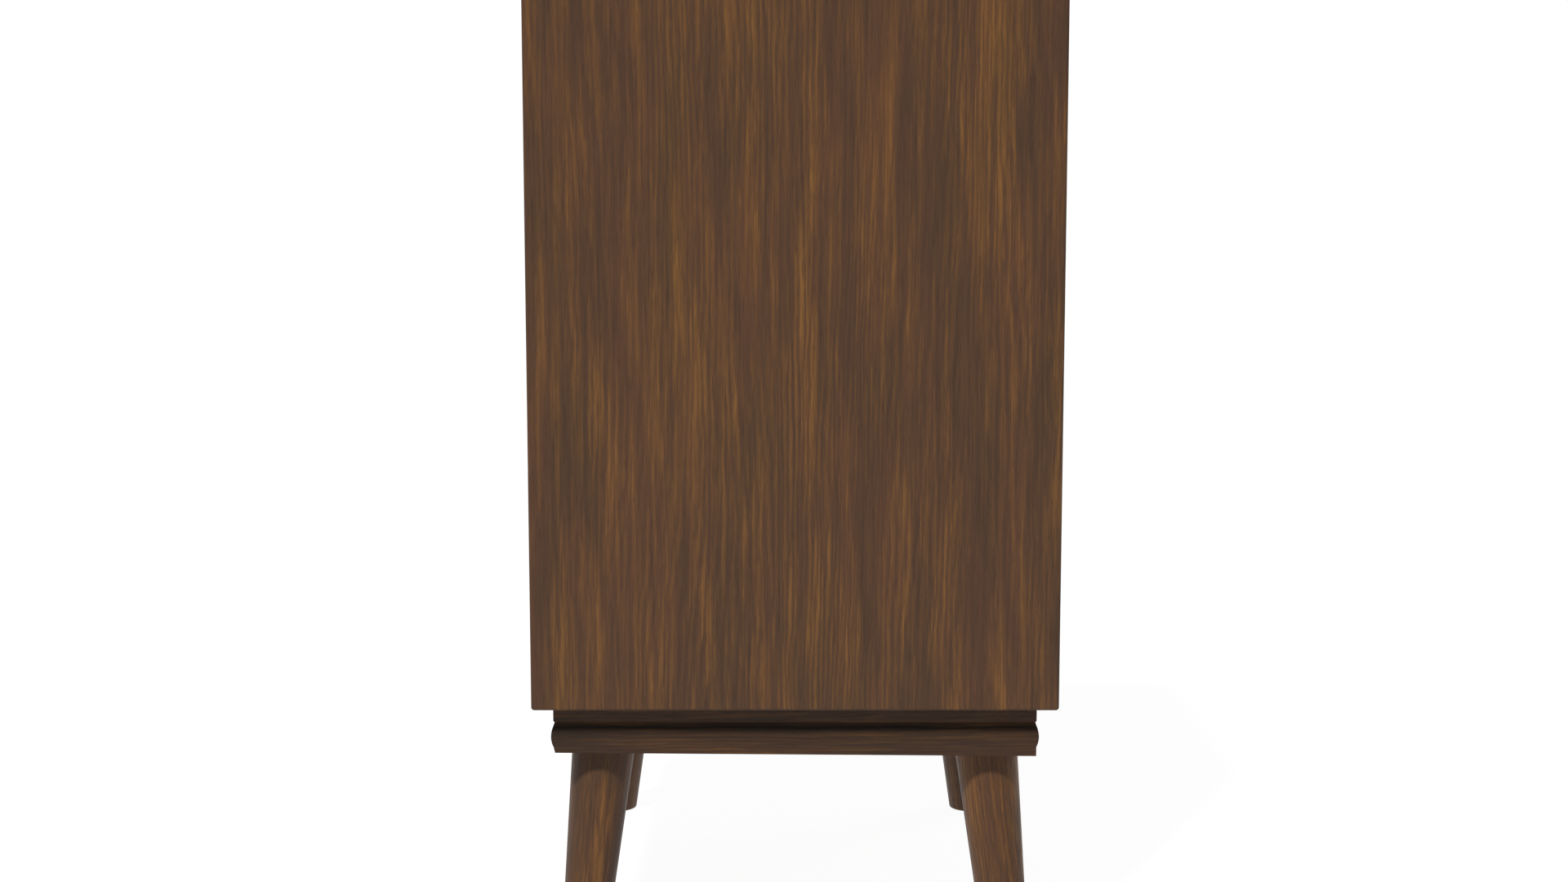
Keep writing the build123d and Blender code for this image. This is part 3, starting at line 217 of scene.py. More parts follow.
def painted_groove_shade(tree, place, along, height, groove):
    """Painted shade round a groove: darkest in its crevice, ragged, and thinning out both ways, over the
    bead below and the band above.
    """
    ragged_by, reach_down, reach_up = 0.0034, 0.016, 0.008
    ragged = noise(tree, scaled(tree, place, 30, 22, along), 3, 0.55)
    below = number(tree, "MULTIPLY_ADD", ragged, ragged_by, height)
    # Painted shade and shadow: darkest at the crevice, the band above darkened as if in the shadow of the
    # case's overhang, and the top of the bead below darkened too.
    shades = [
        (0.02, 1.0),
        (0.17, 0.82),
        (0.33, 0.68),
        (0.46, 0.60),
        (0.55, 0.66),
        (0.617, 0.58),
        (0.65, 0.22),
        (0.671, 0.07),
        (0.696, 0.24),
        (0.729, 0.42),
        (0.80, 0.64),
        (0.875, 0.80),
        (0.98, 0.85),
    ]
    stops = [(share, (shade, shade, shade, 1)) for share, shade in shades]
    return ramp(tree, spread(tree, below, groove - reach_down, groove + reach_up), stops)


def walnut(name, along, shift=(0, 0, 0), turn=(0, 0, 0), depth=1.0, groove=None, mitre=None):
    """Lacquered walnut: figure, streaks and open pores along the grain, darker at a lower depth.

    A groove's height gets painted shade round it, and a frame gives its half width, half height and middle."""
    finish, tree, shader = new_finish(name, specular_ior_level=0.2)
    place = add(tree, "ShaderNodeTexCoord").outputs["Object"]
    height_of = add(tree, "ShaderNodeSeparateXYZ", {0: place}).outputs["Z"]
    if mitre:
        place = mitred(tree, place, *mitre)
    set_off = {"Vector": place, "Location": shift, "Rotation": turn}
    place = add(tree, "ShaderNodeMapping", set_off).outputs[0]

    sway_reach = 0.010
    sway = noise(tree, scaled(tree, place, 8, 2.2, along), 2, output="Color")
    sway = add(tree, "ShaderNodeVectorMath", {0: sway, 1: (0.5, 0.5, 0.5)}, operation="SUBTRACT").outputs[0]
    sway = add(tree, "ShaderNodeVectorMath", {0: sway, "Scale": sway_reach}, operation="SCALE").outputs[0]
    place = add(tree, "ShaderNodeVectorMath", {0: place, 1: sway}).outputs[0]

    rings_in_metre, heart_bend, ring_ripple = 175.0, 24.0, 2.4
    across = [1.0, 1.0, 1.0]
    across[along] = 0.0
    growth = add(tree, "ShaderNodeVectorMath", {0: place, 1: across}, operation="DOT_PRODUCT")
    growth = number(tree, "MULTIPLY", growth.outputs["Value"], rings_in_metre)
    heart = noise(tree, scaled(tree, place, 7.5, 1.0, along), 1, 0.4)
    growth = number(tree, "MULTIPLY_ADD", heart, heart_bend, growth)
    ripple = noise(tree, scaled(tree, place, 90, 14, along), 4, 0.6)
    growth = number(tree, "MULTIPLY_ADD", ripple, ring_ripple, growth)
    rings = number(tree, "MULTIPLY", number(tree, "PINGPONG", growth, 0.5), 2.0)
    rings = spread(tree, rings, 0.10, 0.75)
    ring_share = noise(tree, scaled(tree, place, 20, 4.0, along), 2)
    rings = number(tree, "MULTIPLY", rings, spread(tree, ring_share, 0.35, 0.62, 0.25, 1.0))

    figure = spread(tree, noise(tree, scaled(tree, place, 70, 5.0, along), 6, 0.64, 0.2), 0.38, 0.62)
    streaks = spread(tree, noise(tree, scaled(tree, place, 400, 8.0, along), 4, 0.68, 0.15), 0.36, 0.64)
    hairs = spread(tree, noise(tree, scaled(tree, place, 1300, 24, along), 2, 0.6), 0.36, 0.64)
    clouds = spread(tree, noise(tree, scaled(tree, place, 21, 4.2, along), 3, 0.55), 0.44, 0.68)
    reds = spread(tree, noise(tree, scaled(tree, place, 42, 2.6, along), 4, 0.62), 0.42, 0.60)
    pores = spread(tree, noise(tree, scaled(tree, place, 1700, 60, along), 1, 0.5), 0.60, 0.70)

    figure_share, streak_share, hair_share, growth_share = 0.36, 0.28, 0.15, 0.24
    tone = number(tree, "MULTIPLY", figure, figure_share)
    tone = number(tree, "MULTIPLY_ADD", streaks, streak_share, tone)
    tone = number(tree, "MULTIPLY_ADD", hairs, hair_share, tone)
    tone = number(tree, "MULTIPLY_ADD", rings, growth_share, tone)
    browns = [
        (0.18, stain(64, 44, 30)),
        (0.44, stain(77, 52, 33)),
        (0.62, stain(91, 61, 33)),
        (0.84, stain(114, 77, 37)),
    ]
    colour = ramp(tree, tone, browns)
    colour = mix(tree, number(tree, "MULTIPLY", reds, 0.32), colour, stain(75, 48, 35))
    colour = mix(tree, number(tree, "MULTIPLY", clouds, 0.42), colour, stain(52, 40, 28))
    colour = mix(tree, number(tree, "MULTIPLY", pores, 0.30), colour, stain(42, 27, 18))
    colour = mix(tree, 1.0, colour, (depth, depth, depth, 1), "MULTIPLY")
    # Painted shade and shadow in and around the plinth's groove, multiplied into the wood's colour.
    if groove:
        painted_shade = painted_groove_shade(tree, place, along, height_of, groove)
        colour = mix(tree, 1.0, colour, painted_shade, "MULTIPLY")
    tree.links.new(colour, shader.inputs["Base Color"])

    rough = spread(tree, tone, 0.1, 0.9, 0.52, 0.44)
    tree.links.new(number(tree, "MULTIPLY_ADD", pores, 0.12, rough), shader.inputs["Roughness"])
    pore_depth = 0.00012
    height = number(tree, "SUBTRACT", number(tree, "MULTIPLY", streaks, 0.4), pores)
    bump(tree, shader, height, pore_depth, 0.7)
    return finish


put_on(walnut("walnut_right_side", ALONG_Z, shift=(0.0, 0.31, 0.17)), "right_side_panel")
put_on(walnut("walnut_left_side", ALONG_Z, shift=(0.6, 0.83, 0.52)), "left_side_panel")
put_on(walnut("walnut_top", ALONG_X, shift=(0.2, 0.45, 0.7)), "top_panel")
put_on(walnut("walnut_bottom", ALONG_X, shift=(0.9, 0.12, 0.4)), "bottom_panel")

# ---------------------------------------------------------------- plinth
# Four lengths of one solid walnut moulding, a flat band over a bead and a lower band, mitred round the
# underside of the case. Its grain runs along each length. Their colour carries painted shade in the crevice
# over the bead and painted shadow on the band under the case's overhang.
rail_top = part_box("front_rail")[1].z
crevice = rail_top - 0.0173
rails = (
    ("front_rail", ALONG_X, (0.1, 0.3, 0.9)),
    ("back_rail", ALONG_X, (0.7, 0.6, 0.2)),
    ("left_rail", ALONG_Y, (0.4, 0.1, 0.6)),
    ("right_rail", ALONG_Y, (0.3, 0.8, 0.1)),
)
for rail, along, shift in rails:
    put_on(walnut("walnut_" + rail, along, shift, depth=0.59, groove=crevice), rail)

# ---------------------------------------------------------------- legs
# Turned and tapered from solid walnut, and fixed at a splay both ways. The grain follows each
# leg down to its foot.
leg_splay = 0.1018
legs = ("front_left_leg", "front_right_leg", "back_left_leg", "back_right_leg")
for count, leg in enumerate(legs):
    low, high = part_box(leg)
    middle = (low + high) / 2
    lean_x = math.atan(leg_splay) * math.copysign(1, middle.x)
    lean_y = math.atan(leg_splay) * math.copysign(1, middle.y)
    shift = (0.37 * count, 0.5, 0.1)
    put_on(walnut("walnut_" + leg, ALONG_Z, shift, turn=(-lean_y, lean_x, 0), depth=0.94), leg)

# ---------------------------------------------------------------- corner blocks and glides
# Raw pine blocks glued into the plinth's corners. A plated bolt through each one holds its leg,
# and a nylon glide is pressed into each foot.


def raw_wood(name, along, light, dark, roughness=0.75):
    """Unfinished timber, with soft growth lines along its grain."""
    finish, tree, shader = new_finish(name, roughness, specular_ior_level=0.25)
    place = add(tree, "ShaderNodeTexCoord").outputs["Object"]
    lines = spread(tree, noise(tree, scaled(tree, place, 160, 6, along), 3, 0.6, 0.3), 0.35, 0.65)
    fibres = spread(tree, noise(tree, scaled(tree, place, 1100, 40, along), 2), 0.35, 0.65)
    tone = number(tree, "MULTIPLY_ADD", fibres, 0.3, number(tree, "MULTIPLY", lines, 0.7))
    tree.links.new(ramp(tree, tone, [(0.1, dark), (0.9, light)]), shader.inputs["Base Color"])
    bump(tree, shader, tone, 0.0002, 0.6)
    return finish


def plated(name, colour, roughness=0.35, metallic=1.0):
    """Plated steel, a little dulled and finely scratched."""
    finish, tree, shader = new_finish(name, roughness, metallic=metallic)
    place = add(tree, "ShaderNodeTexCoord").outputs["Object"]
    cloud = spread(tree, noise(tree, scaled(tree, place, 90, 90, 2), 3), 0.35, 0.65)
    dull = tuple(0.72 * part for part in colour[:3]) + (1,)
    tree.links.new(mix(tree, cloud, dull, colour), shader.inputs["Base Color"])
    scratch = noise(tree, scaled(tree, place, 1400, 120, ALONG_X), 2)
    rough = number(tree, "MULTIPLY_ADD", scratch, 0.1, roughness - 0.1)
    rough = number(tree, "MULTIPLY_ADD", cloud, 0.12, rough)
    tree.links.new(rough, shader.inputs["Roughness"])
    return finish


def moulded(name, colour, roughness=0.5, grain=700, depth=0.00006):
    """Moulded plastic or phenolic, with a fine skin and a faint mottle."""
    finish, tree, shader = new_finish(name, roughness)
    place = add(tree, "ShaderNodeTexCoord").outputs["Object"]
    mottle = spread(tree, noise(tree, scaled(tree, place, 60, 60, 2), 4), 0.3, 0.7)
    paler = tuple(min(1.0, 1.25 * part + 0.002) for part in colour[:3]) + (1,)
    tree.links.new(mix(tree, mottle, colour, paler), shader.inputs["Base Color"])
    skin = noise(tree, scaled(tree, place, grain, grain, 2), 2)
    tree.links.new(number(tree, "MULTIPLY_ADD", skin, 0.16, roughness - 0.08), shader.inputs["Roughness"])
    bump(tree, shader, skin, depth, 0.6)
    return finish


pine = raw_wood("pine", ALONG_Z, stain(196, 160, 112), stain(160, 120, 76))
zinc = plated("zinc_plate", (0.56, 0.55, 0.50, 1))
put_on(pine, "corner_blocks")
put_on(zinc, "leg_bolts")
put_on(moulded("nylon", stain(206, 200, 184), 0.45), "foot_glides")

# ---------------------------------------------------------------- front board, cleats and shelf
# Birch plywood: the front board carries the tube, the controls and the loudspeaker, and the
# shelf carries the works. Both are screwed to glued strips, and the tube to four posts.
birch = raw_wood("birch_plywood", ALONG_X, stain(186, 150, 104), stain(158, 120, 78))
painted_board, tree, shader = new_finish("painted_board", 0.6)
place = add(tree, "ShaderNodeTexCoord").outputs["Object"]
brush_marks = noise(tree, scaled(tree, place, 700, 16, ALONG_X), 3)
tree.links.new(mix(tree, brush_marks, stain(38, 27, 22), stain(52, 38, 30)), shader.inputs["Base Color"])
bump(tree, shader, brush_marks, 0.00012, 0.6)
put_on(painted_board, "front_baffle")
put_on(birch, "chassis_shelf")
put_on(raw_wood("pine_strip", ALONG_Z, stain(190, 154, 106), stain(150, 112, 70)), "cleats_and_posts")

# ---------------------------------------------------------------- picture tube
# One glass bulb: a grey face with a slight dome, a funnel painted with graphite, and a bare
# glass neck. A steel strap round its skirt is bolted to the posts.
bulb, tree, shader = new_finish("tube_glass", 0.1, coat_weight=0.6, coat_roughness=0.03)
place = add(tree, "ShaderNodeTexCoord").outputs["Object"]
depth_of = add(tree, "ShaderNodeSeparateXYZ", {0: place}).outputs["Y"]
tube_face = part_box("picture_tube")[0].y
skirt_end = tube_face + 0.052
neck_from = tube_face + 0.2
paint_edge = 0.002
cloud = noise(tree, scaled(tree, place, 14, 14, ALONG_Z), 2)
face_glass = mix(tree, cloud, stain(84, 93, 88), stain(96, 104, 98))
brushing = noise(tree, scaled(tree, place, 90, 90, ALONG_Z), 4)
graphite = mix(tree, brushing, stain(30, 30, 31), stain(52, 52, 53))
on_funnel = spread(tree, depth_of, skirt_end, skirt_end + paint_edge)
on_neck = spread(tree, depth_of, neck_from, neck_from + paint_edge)
colour = mix(tree, on_funnel, face_glass, graphite)
colour = mix(tree, on_neck, colour, stain(120, 128, 124))
tree.links.new(colour, shader.inputs["Base Color"])
rough = number(tree, "SUBTRACT", on_funnel, on_neck)
tree.links.new(number(tree, "MULTIPLY_ADD", rough, 0.55, 0.08), shader.inputs["Roughness"])
put_on(bulb, "picture_tube")
put_on(plated("gun_metal", (0.62, 0.60, 0.58, 1), 0.25), "electron_gun")
phenolic = moulded("phenolic", stain(58, 36, 24), 0.4)
put_on(phenolic, "tube_base", "tube_socket")
put_on(moulded("yoke_moulding", stain(84, 80, 74), 0.55), "deflection_yoke")
put_on(zinc, "tube_strap", "tube_bolts")

# ---------------------------------------------------------------- mask, safety glass and brass frame
# The mask is moulded in dull cream plastic and follows the tube's dome. In front of it a flat
# tinted plate glass sits in the rabbet of a rounded brass frame, brushed and lacquered. The
# clear glass throws no shadow on the tube.
put_on(moulded("mask_moulding", stain(172, 160, 132), 0.55, 900), "screen_mask")
safety, tree, shader = new_finish("safety_glass", 0.02, ior=1.5, transmission_weight=1.0)
place = add(tree, "ShaderNodeTexCoord").outputs["Object"]
tint = noise(tree, scaled(tree, place, 3, 3, ALONG_Z), 1)
tree.links.new(mix(tree, tint, (0.80, 0.84, 0.82, 1), (0.84, 0.87, 0.85, 1)), shader.inputs["Base Color"])
put_on(safety, "safety_glass")
nodes["safety_glass"].visible_shadow = False


def brushed(name, colour, dark, along, roughness=0.3):
    """Brushed and lacquered metal, with fine lines one way."""
    finish, tree, shader = new_finish(name, roughness, metallic=1.0, anisotropic=0.4)
    place = add(tree, "ShaderNodeTexCoord").outputs["Object"]
    strokes = noise(tree, scaled(tree, place, 1800, 8, along), 3, 0.6)
    cloud = spread(tree, noise(tree, scaled(tree, place, 22, 22, ALONG_Z), 3), 0.35, 0.7)
    tree.links.new(mix(tree, cloud, colour, dark), shader.inputs["Base Color"])
    rough = spread(tree, strokes, 0.3, 0.7, roughness - 0.07, roughness + 0.12)
    tree.links.new(rough, shader.inputs["Roughness"])
    bump(tree, shader, strokes, 0.00004, 0.7)
    return finish


frame_brass = brushed("brushed_brass", (0.66, 0.47, 0.20, 1), (0.52, 0.35, 0.14, 1), ALONG_X, 0.27)
put_on(frame_brass, "glass_frame")

# ---------------------------------------------------------------- control panel
# A pressing in gold-anodised aluminium: a bright raised border round a brushed bronze field,
# with a drop-down door over the small knobs and the moulded well that they stand in.
panel_low, panel_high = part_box("control_escutcheon")
field_from = panel_low.y + 0.0035
field_edge = 0.0003


def panel_metal(name, field_start):
    """Gold border, bronze field: which one shows depends on how far forward the metal stands."""
    finish, tree, shader = new_finish(name, 0.3, metallic=1.0, anisotropic=0.4)
    place = add(tree, "ShaderNodeTexCoord").outputs["Object"]
    back = add(tree, "ShaderNodeSeparateXYZ", {0: place}).outputs["Y"]
    on_field = spread(tree, back, field_start, field_start + field_edge)
    strokes = noise(tree, scaled(tree, place, 1900, 7, ALONG_X), 3, 0.6)
    gold = mix(tree, strokes, (0.60, 0.44, 0.19, 1), (0.72, 0.55, 0.27, 1))
    bronze = mix(tree, strokes, (0.12, 0.075, 0.045, 1), (0.19, 0.12, 0.07, 1))
    tree.links.new(mix(tree, on_field, gold, bronze), shader.inputs["Base Color"])
    tree.links.new(spread(tree, strokes, 0.3, 0.7, 0.24, 0.44), shader.inputs["Roughness"])
    bump(tree, shader, strokes, 0.00005, 0.7)
    return finish


put_on(panel_metal("panel_metal", field_from), "control_escutcheon")
door_gold = brushed("door_gold", (0.66, 0.50, 0.24, 1), (0.56, 0.41, 0.18, 1), ALONG_X)
put_on(door_gold, "control_door")
put_on(moulded("well_moulding", stain(46, 34, 28), 0.5), "control_well")

# ---------------------------------------------------------------- dial marks
# Channel numbers and volume ticks, raised a little from the field and filled with ivory paint.
# The numbers stand in a ring round the tuning knobs.
channel_centre = sum(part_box("channel_knob"), Vector()) / 2
volume_centre = sum(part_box("volume_knob"), Vector()) / 2
field_y = panel_high.y - 0.0016
mark_stand = 0.00025
ivory = moulded("ivory_paint", stain(226, 216, 190), 0.5)


def new_piece(name, shape, finish, body, smooth=35.0):
    """Makes a piece of a worked shape, gives it its finish and fixes it to a body."""
    mesh = bpy.data.meshes.new(name)
    shape.to_mesh(mesh)
    shape.free()
    mesh.polygons.foreach_set("use_smooth", [True] * len(mesh.polygons))
    mesh.set_sharp_from_angle(angle=math.radians(smooth))
    piece = bpy.data.objects.new(name, mesh)
    piece.data.materials.append(finish)
    bpy.context.scene.collection.objects.link(piece)
    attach(piece, body)
    return piece


def lettering(text, size, place):
    """The flat shape of a number, standing at a place and facing the front."""
    curve = bpy.data.curves.new("number", "FONT")
    curve.body = text
    curve.size = size
    curve.align_x = "CENTER"
    curve.align_y = "CENTER"
    curve.extrude = mark_stand
    holder = bpy.data.objects.new("number", curve)
    bpy.context.scene.collection.objects.link(holder)
    holder.rotation_euler = (math.radians(90), 0, 0)
    holder.location = place
    bpy.context.view_layer.update()
    worked = holder.evaluated_get(bpy.context.evaluated_depsgraph_get())
    mesh = bpy.data.meshes.new_from_object(worked)
    mesh.transform(holder.matrix_world)
    bpy.data.objects.remove(holder)
    return mesh


numbers = bmesh.new()
number_size = 0.0050
number_circle = 0.0275
first_channel, channels = 2, 12
for step in range(channels):
    angle = math.radians(30 * step)
    x = channel_centre.x + number_circle * math.sin(angle)
    z = channel_centre.z + number_circle * math.cos(angle)
    mesh = lettering(str(first_channel + step), number_size, (x, field_y, z))
    numbers.from_mesh(mesh)
    bpy.data.meshes.remove(mesh)
new_piece("channel_numbers", numbers, ivory, "cabinet")

ticks = bmesh.new()
tick_width = 0.0009
tick_circle = 0.0225
shortest_tick, tick_growth = 0.0022, 0.00018
for step in range(11):
    angle = math.radians(-150 + 30 * step)
    length = shortest_tick + tick_growth * step
    tick = bmesh.ops.create_cube(ticks, size=1.0)["verts"]
    bmesh.ops.scale(ticks, verts=tick, vec=(tick_width, 2 * mark_stand, length))
    bmesh.ops.translate(ticks, verts=tick, vec=(0, 0, tick_circle + length / 2))
    for point in tick:
        x, z = point.co.x, point.co.z
        point.co.x = x * math.cos(angle) + z * math.sin(angle)
        point.co.z = z * math.cos(angle) - x * math.sin(angle)
    bmesh.ops.translate(ticks, verts=tick, vec=(volume_centre.x, field_y, volume_centre.z))
new_piece("volume_ticks", ticks, ivory, "cabinet")

# ---------------------------------------------------------------- knobs
# Moulded in brown plastic with fluted edges and polished. Each large one has a spun brass cap
# with an ivory line, and the ring behind the channel knob is for fine tuning.
knob_brown = moulded("knob_moulding", stain(54, 36, 27), 0.24, 260, 0.00002)
flute_sharpness = 1.6


def spun(name, centre):
    """Brass spun on a lathe, with fine rings round a knob's axis."""
    finish, tree, shader = new_finish(name, 0.25, metallic=1.0)
    place = add(tree, "ShaderNodeTexCoord").outputs["Object"]
    to_axis = {"Vector": place, "Location": [-part for part in centre]}
    place_round = add(tree, "ShaderNodeMapping", to_axis).outputs[0]
    flat = add(tree, "ShaderNodeVectorMath", {0: place_round, 1: (1, 0, 1)}, operation="MULTIPLY")
    radius = add(tree, "ShaderNodeVectorMath", {0: flat.outputs[0]}, operation="LENGTH").outputs["Value"]
    rings_in_metre = 3000.0
    at_radius = number(tree, "MULTIPLY", radius, rings_in_metre)
    rings = noise(tree, add(tree, "ShaderNodeCombineXYZ", {0: at_radius}).outputs[0], 2, 0.6)
    cloud = spread(tree, noise(tree, scaled(tree, place, 120, 120, ALONG_Z), 2), 0.35, 0.65)
    brass = mix(tree, cloud, (0.50, 0.36, 0.15, 1), (0.70, 0.53, 0.26, 1))
    tree.links.new(brass, shader.inputs["Base Color"])
    tree.links.new(spread(tree, rings, 0.3, 0.7, 0.2, 0.36), shader.inputs["Roughness"])
    bump(tree, shader, rings, 0.00006, 0.7)
    return finish


def turn_round(shape, outline, centre, steps, flutes=0, depth=0.0):
    """Turns an outline of (place along Y, radius, share of a flute's depth) round an axis."""
    loops = []
    for y, radius, share in outline:
        if radius <= 0:
            loops.append([shape.verts.new((centre.x, y, centre.z))] * steps)
            continue
        loop = []
        for step in range(steps):
            angle = 2 * math.pi * step / steps
            wave = 0.5 - 0.5 * math.cos(flutes * angle)
            out = radius - depth * share * wave**flute_sharpness
            x = centre.x + out * math.sin(angle)
            z = centre.z + out * math.cos(angle)
            loop.append(shape.verts.new((x, y, z)))
        loops.append(loop)
    for near, far in zip(loops, loops[1:]):
        for step in range(steps):
            following = (step + 1) % steps
            corners = [near[step], near[following], far[following], far[step]]
            shape.faces.new(list(dict.fromkeys(corners)))
    bmesh.ops.recalc_face_normals(shape, faces=shape.faces)


def large_knob(name, body, flutes):
    """A large knob with a fluted side, a spun cap let into its face and a line on its rim."""
    low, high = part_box(name)
    centre = (low + high) / 2
    centre.y = 0
    radius = (high.x - low.x) / 2
    front, back = low.y, high.y
    bore, bore_depth, flute_depth = 0.00305, 0.01005, 0.0011
    bore_end = back - bore_depth
    seat = front + 0.0016
    outline = [
        (bore_end, 0, 0),
        (bore_end, bore, 0),
        (back, bore, 0),
        (back, radius - 0.0006, 0),
        (back - 0.0006, radius, 0),
        (back - 0.0016, radius, 0),
        (back - 0.0022, radius - 0.0002, 1),
        (back - 0.0040, radius - 0.0003, 1),
        (front + 0.0034, radius - 0.0016, 1),
        (front + 0.0022, radius - 0.0019, 0.7),
        (front + 0.0012, radius - 0.0023, 0.2),
        (front + 0.0005, radius - 0.0030, 0),
        (front, radius - 0.0041, 0),
        (front, radius - 0.0056, 0),
        (front + 0.0003, radius - 0.0060, 0),
        (seat, radius - 0.0062, 0),
        (seat, 0, 0),
    ]
    shape = bmesh.new()
    turn_round(shape, outline, centre, flutes * 8, flutes, flute_depth)
    piece = new_piece(name + "_fluted", shape, knob_brown, body, 40)
    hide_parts(name)

    cap = radius - 0.0063
    outline = [
        (seat, 0, 0),
        (seat, cap, 0),
        (front + 0.0004, cap, 0),
        (front + 0.0001, cap - 0.0003, 0),
        (front + 0.0001, cap - 0.0009, 0),
        (front + 0.0007, cap - 0.0016, 0),
        (front + 0.0011, cap * 0.6, 0),
        (front + 0.0012, cap * 0.32, 0),
        (front + 0.0009, cap * 0.27, 0),
        (front + 0.0007, cap * 0.15, 0),
        (front + 0.0006, 0, 0),
    ]
    shape = bmesh.new()
    turn_round(shape, outline, centre, 96)
    new_piece(name + "_cap", shape, spun(name + "_spun_brass", centre), body, 50)

    line_width, line_stand, line_length = 0.0011, 0.0004, 0.0034
    line_middle = centre.z + radius - 0.0047
    shape = bmesh.new()
    line = bmesh.ops.create_cube(shape, size=1.0)["verts"]
    bmesh.ops.scale(shape, verts=line, vec=(line_width, line_stand, line_length))
    bmesh.ops.translate(shape, verts=line, vec=(centre.x, front + 0.0001, line_middle))
    for point in line:
        if point.co.z > line_middle:
            point.co.y += line_stand
    bmesh.ops.bevel(shape, geom=shape.edges[:], offset=0.0001, segments=1)
    new_piece(name + "_line", shape, ivory, body)


large_knob("volume_knob", "volume", flutes=30)
large_knob("channel_knob", "channel", flutes=28)

ring_low, ring_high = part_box("fine_tuning_ring")
ring_radius = (ring_high.x - ring_low.x) / 2
ring_bore = 0.00505
ring_centre = (ring_low + ring_high) / 2
ring_centre.y = 0
outline = [
    (ring_high.y, ring_bore, 0),
    (ring_high.y, ring_radius - 0.0005, 0),
    (ring_high.y - 0.0005, ring_radius, 0),
    (ring_high.y - 0.0011, ring_radius, 0),
    (ring_high.y - 0.0016, ring_radius - 0.0001, 1),
    (ring_low.y + 0.0032, ring_radius - 0.0004, 1),
    (ring_low.y + 0.0022, ring_radius - 0.0009, 0.6),
    (ring_low.y + 0.0015, ring_radius - 0.0019, 0),
    (ring_low.y + 0.0005, ring_radius - 0.0052, 0),
    (ring_low.y, ring_radius - 0.0062, 0),
    (ring_low.y, ring_bore, 0),
    (ring_high.y, ring_bore, 0),
]
ring_flutes, ring_flute_depth = 48, 0.0008
same_place = 0.000001
ring = bmesh.new()
turn_round(ring, outline, ring_centre, ring_flutes * 6, ring_flutes, ring_flute_depth)
bmesh.ops.remove_doubles(ring, verts=ring.verts, dist=same_place)
ring_piece = new_piece("fine_tuning_grip", ring, knob_brown, "fine_tuning", 40)
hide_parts("fine_tuning_ring")

stem_radius = 0.003
small_flutes, small_flute_depth = 20, 0.0006
for knob in ("brightness", "contrast", "vertical_hold", "horizontal_hold"):
    low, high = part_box(knob + "_knob")
    centre = (low + high) / 2
    centre.y = 0
    radius = (high.x - low.x) / 2
    skirt_back = low.y + 0.015
    outline = [
        (high.y, 0, 0),
        (high.y, stem_radius, 0),
        (skirt_back, stem_radius, 0),
        (skirt_back, radius - 0.0005, 0),
        (skirt_back - 0.0005, radius, 0),
        (skirt_back - 0.0012, radius, 0),
        (skirt_back - 0.0018, radius - 0.0001, 1),
        (low.y + 0.0022, radius - 0.0006, 1),
        (low.y + 0.0012, radius - 0.0009, 0.5),
        (low.y + 0.0004, radius - 0.0015, 0),
        (low.y, radius - 0.0023, 0),
        (low.y, radius * 0.52, 0),
        (low.y + 0.0005, radius * 0.46, 0),
        (low.y + 0.0005, 0, 0),
    ]
    shape = bmesh.new()
    turn_round(shape, outline, centre, small_flutes * 8, small_flutes, small_flute_depth)
    piece = new_piece(knob + "_fluted", shape, knob_brown, knob, 40)
    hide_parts(knob + "_knob")
    shape = bmesh.new()
    line = bmesh.ops.create_cube(shape, size=1.0)["verts"]
    line_width, line_stand, line_length = 0.0008, 0.0003, 0.0028
    line_middle = centre.z + radius - 0.0036
    bmesh.ops.scale(shape, verts=line, vec=(line_width, line_stand, line_length))
    bmesh.ops.translate(shape, verts=line, vec=(centre.x, low.y + 0.00016, line_middle))
    new_piece(knob + "_line", shape, ivory, knob)

# ---------------------------------------------------------------- tuner, shafts and pots
# The tuner is a plated box round a turret on the channel shaft. The fine tuning sleeve turns
# round that shaft, and the other knobs are on the shafts of small pots.
bright_steel = plated("turned_steel", (0.60, 0.60, 0.60, 1), 0.24)
put_on(bright_steel, "volume_shaft", "tuner_turret", "fine_tuning_sleeve")
put_on(plated("pot_plate", (0.50, 0.50, 0.47, 1), 0.38), "control_pots")
put_on(plated("tuner_plate", (0.52, 0.50, 0.44, 1), 0.34), "tuner_box")

# ---------------------------------------------------------------- speaker grille
# A mitred walnut frame with thirteen upright walnut slats, over a board covered in a woven
# cloth. The cloth is cotton with a gold thread in it, pulled tight and turned round the edges.
grille_low, grille_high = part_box("grille_frame")
grille_half_width = (grille_high.x - grille_low.x) / 2
grille_half_height = (grille_high.z - grille_low.z) / 2
grille_mitre = (grille_half_width, grille_half_height, (grille_low.z + grille_high.z) / 2)
frame_walnut = walnut("walnut_grille_frame", ALONG_X, shift=(0.15, 0.35, 0.2), mitre=grille_mitre)
put_on(frame_walnut, "grille_frame")
put_on(walnut("walnut_slats", ALONG_Z, shift=(0.25, 0.65, 0.4)), "grille_slats")

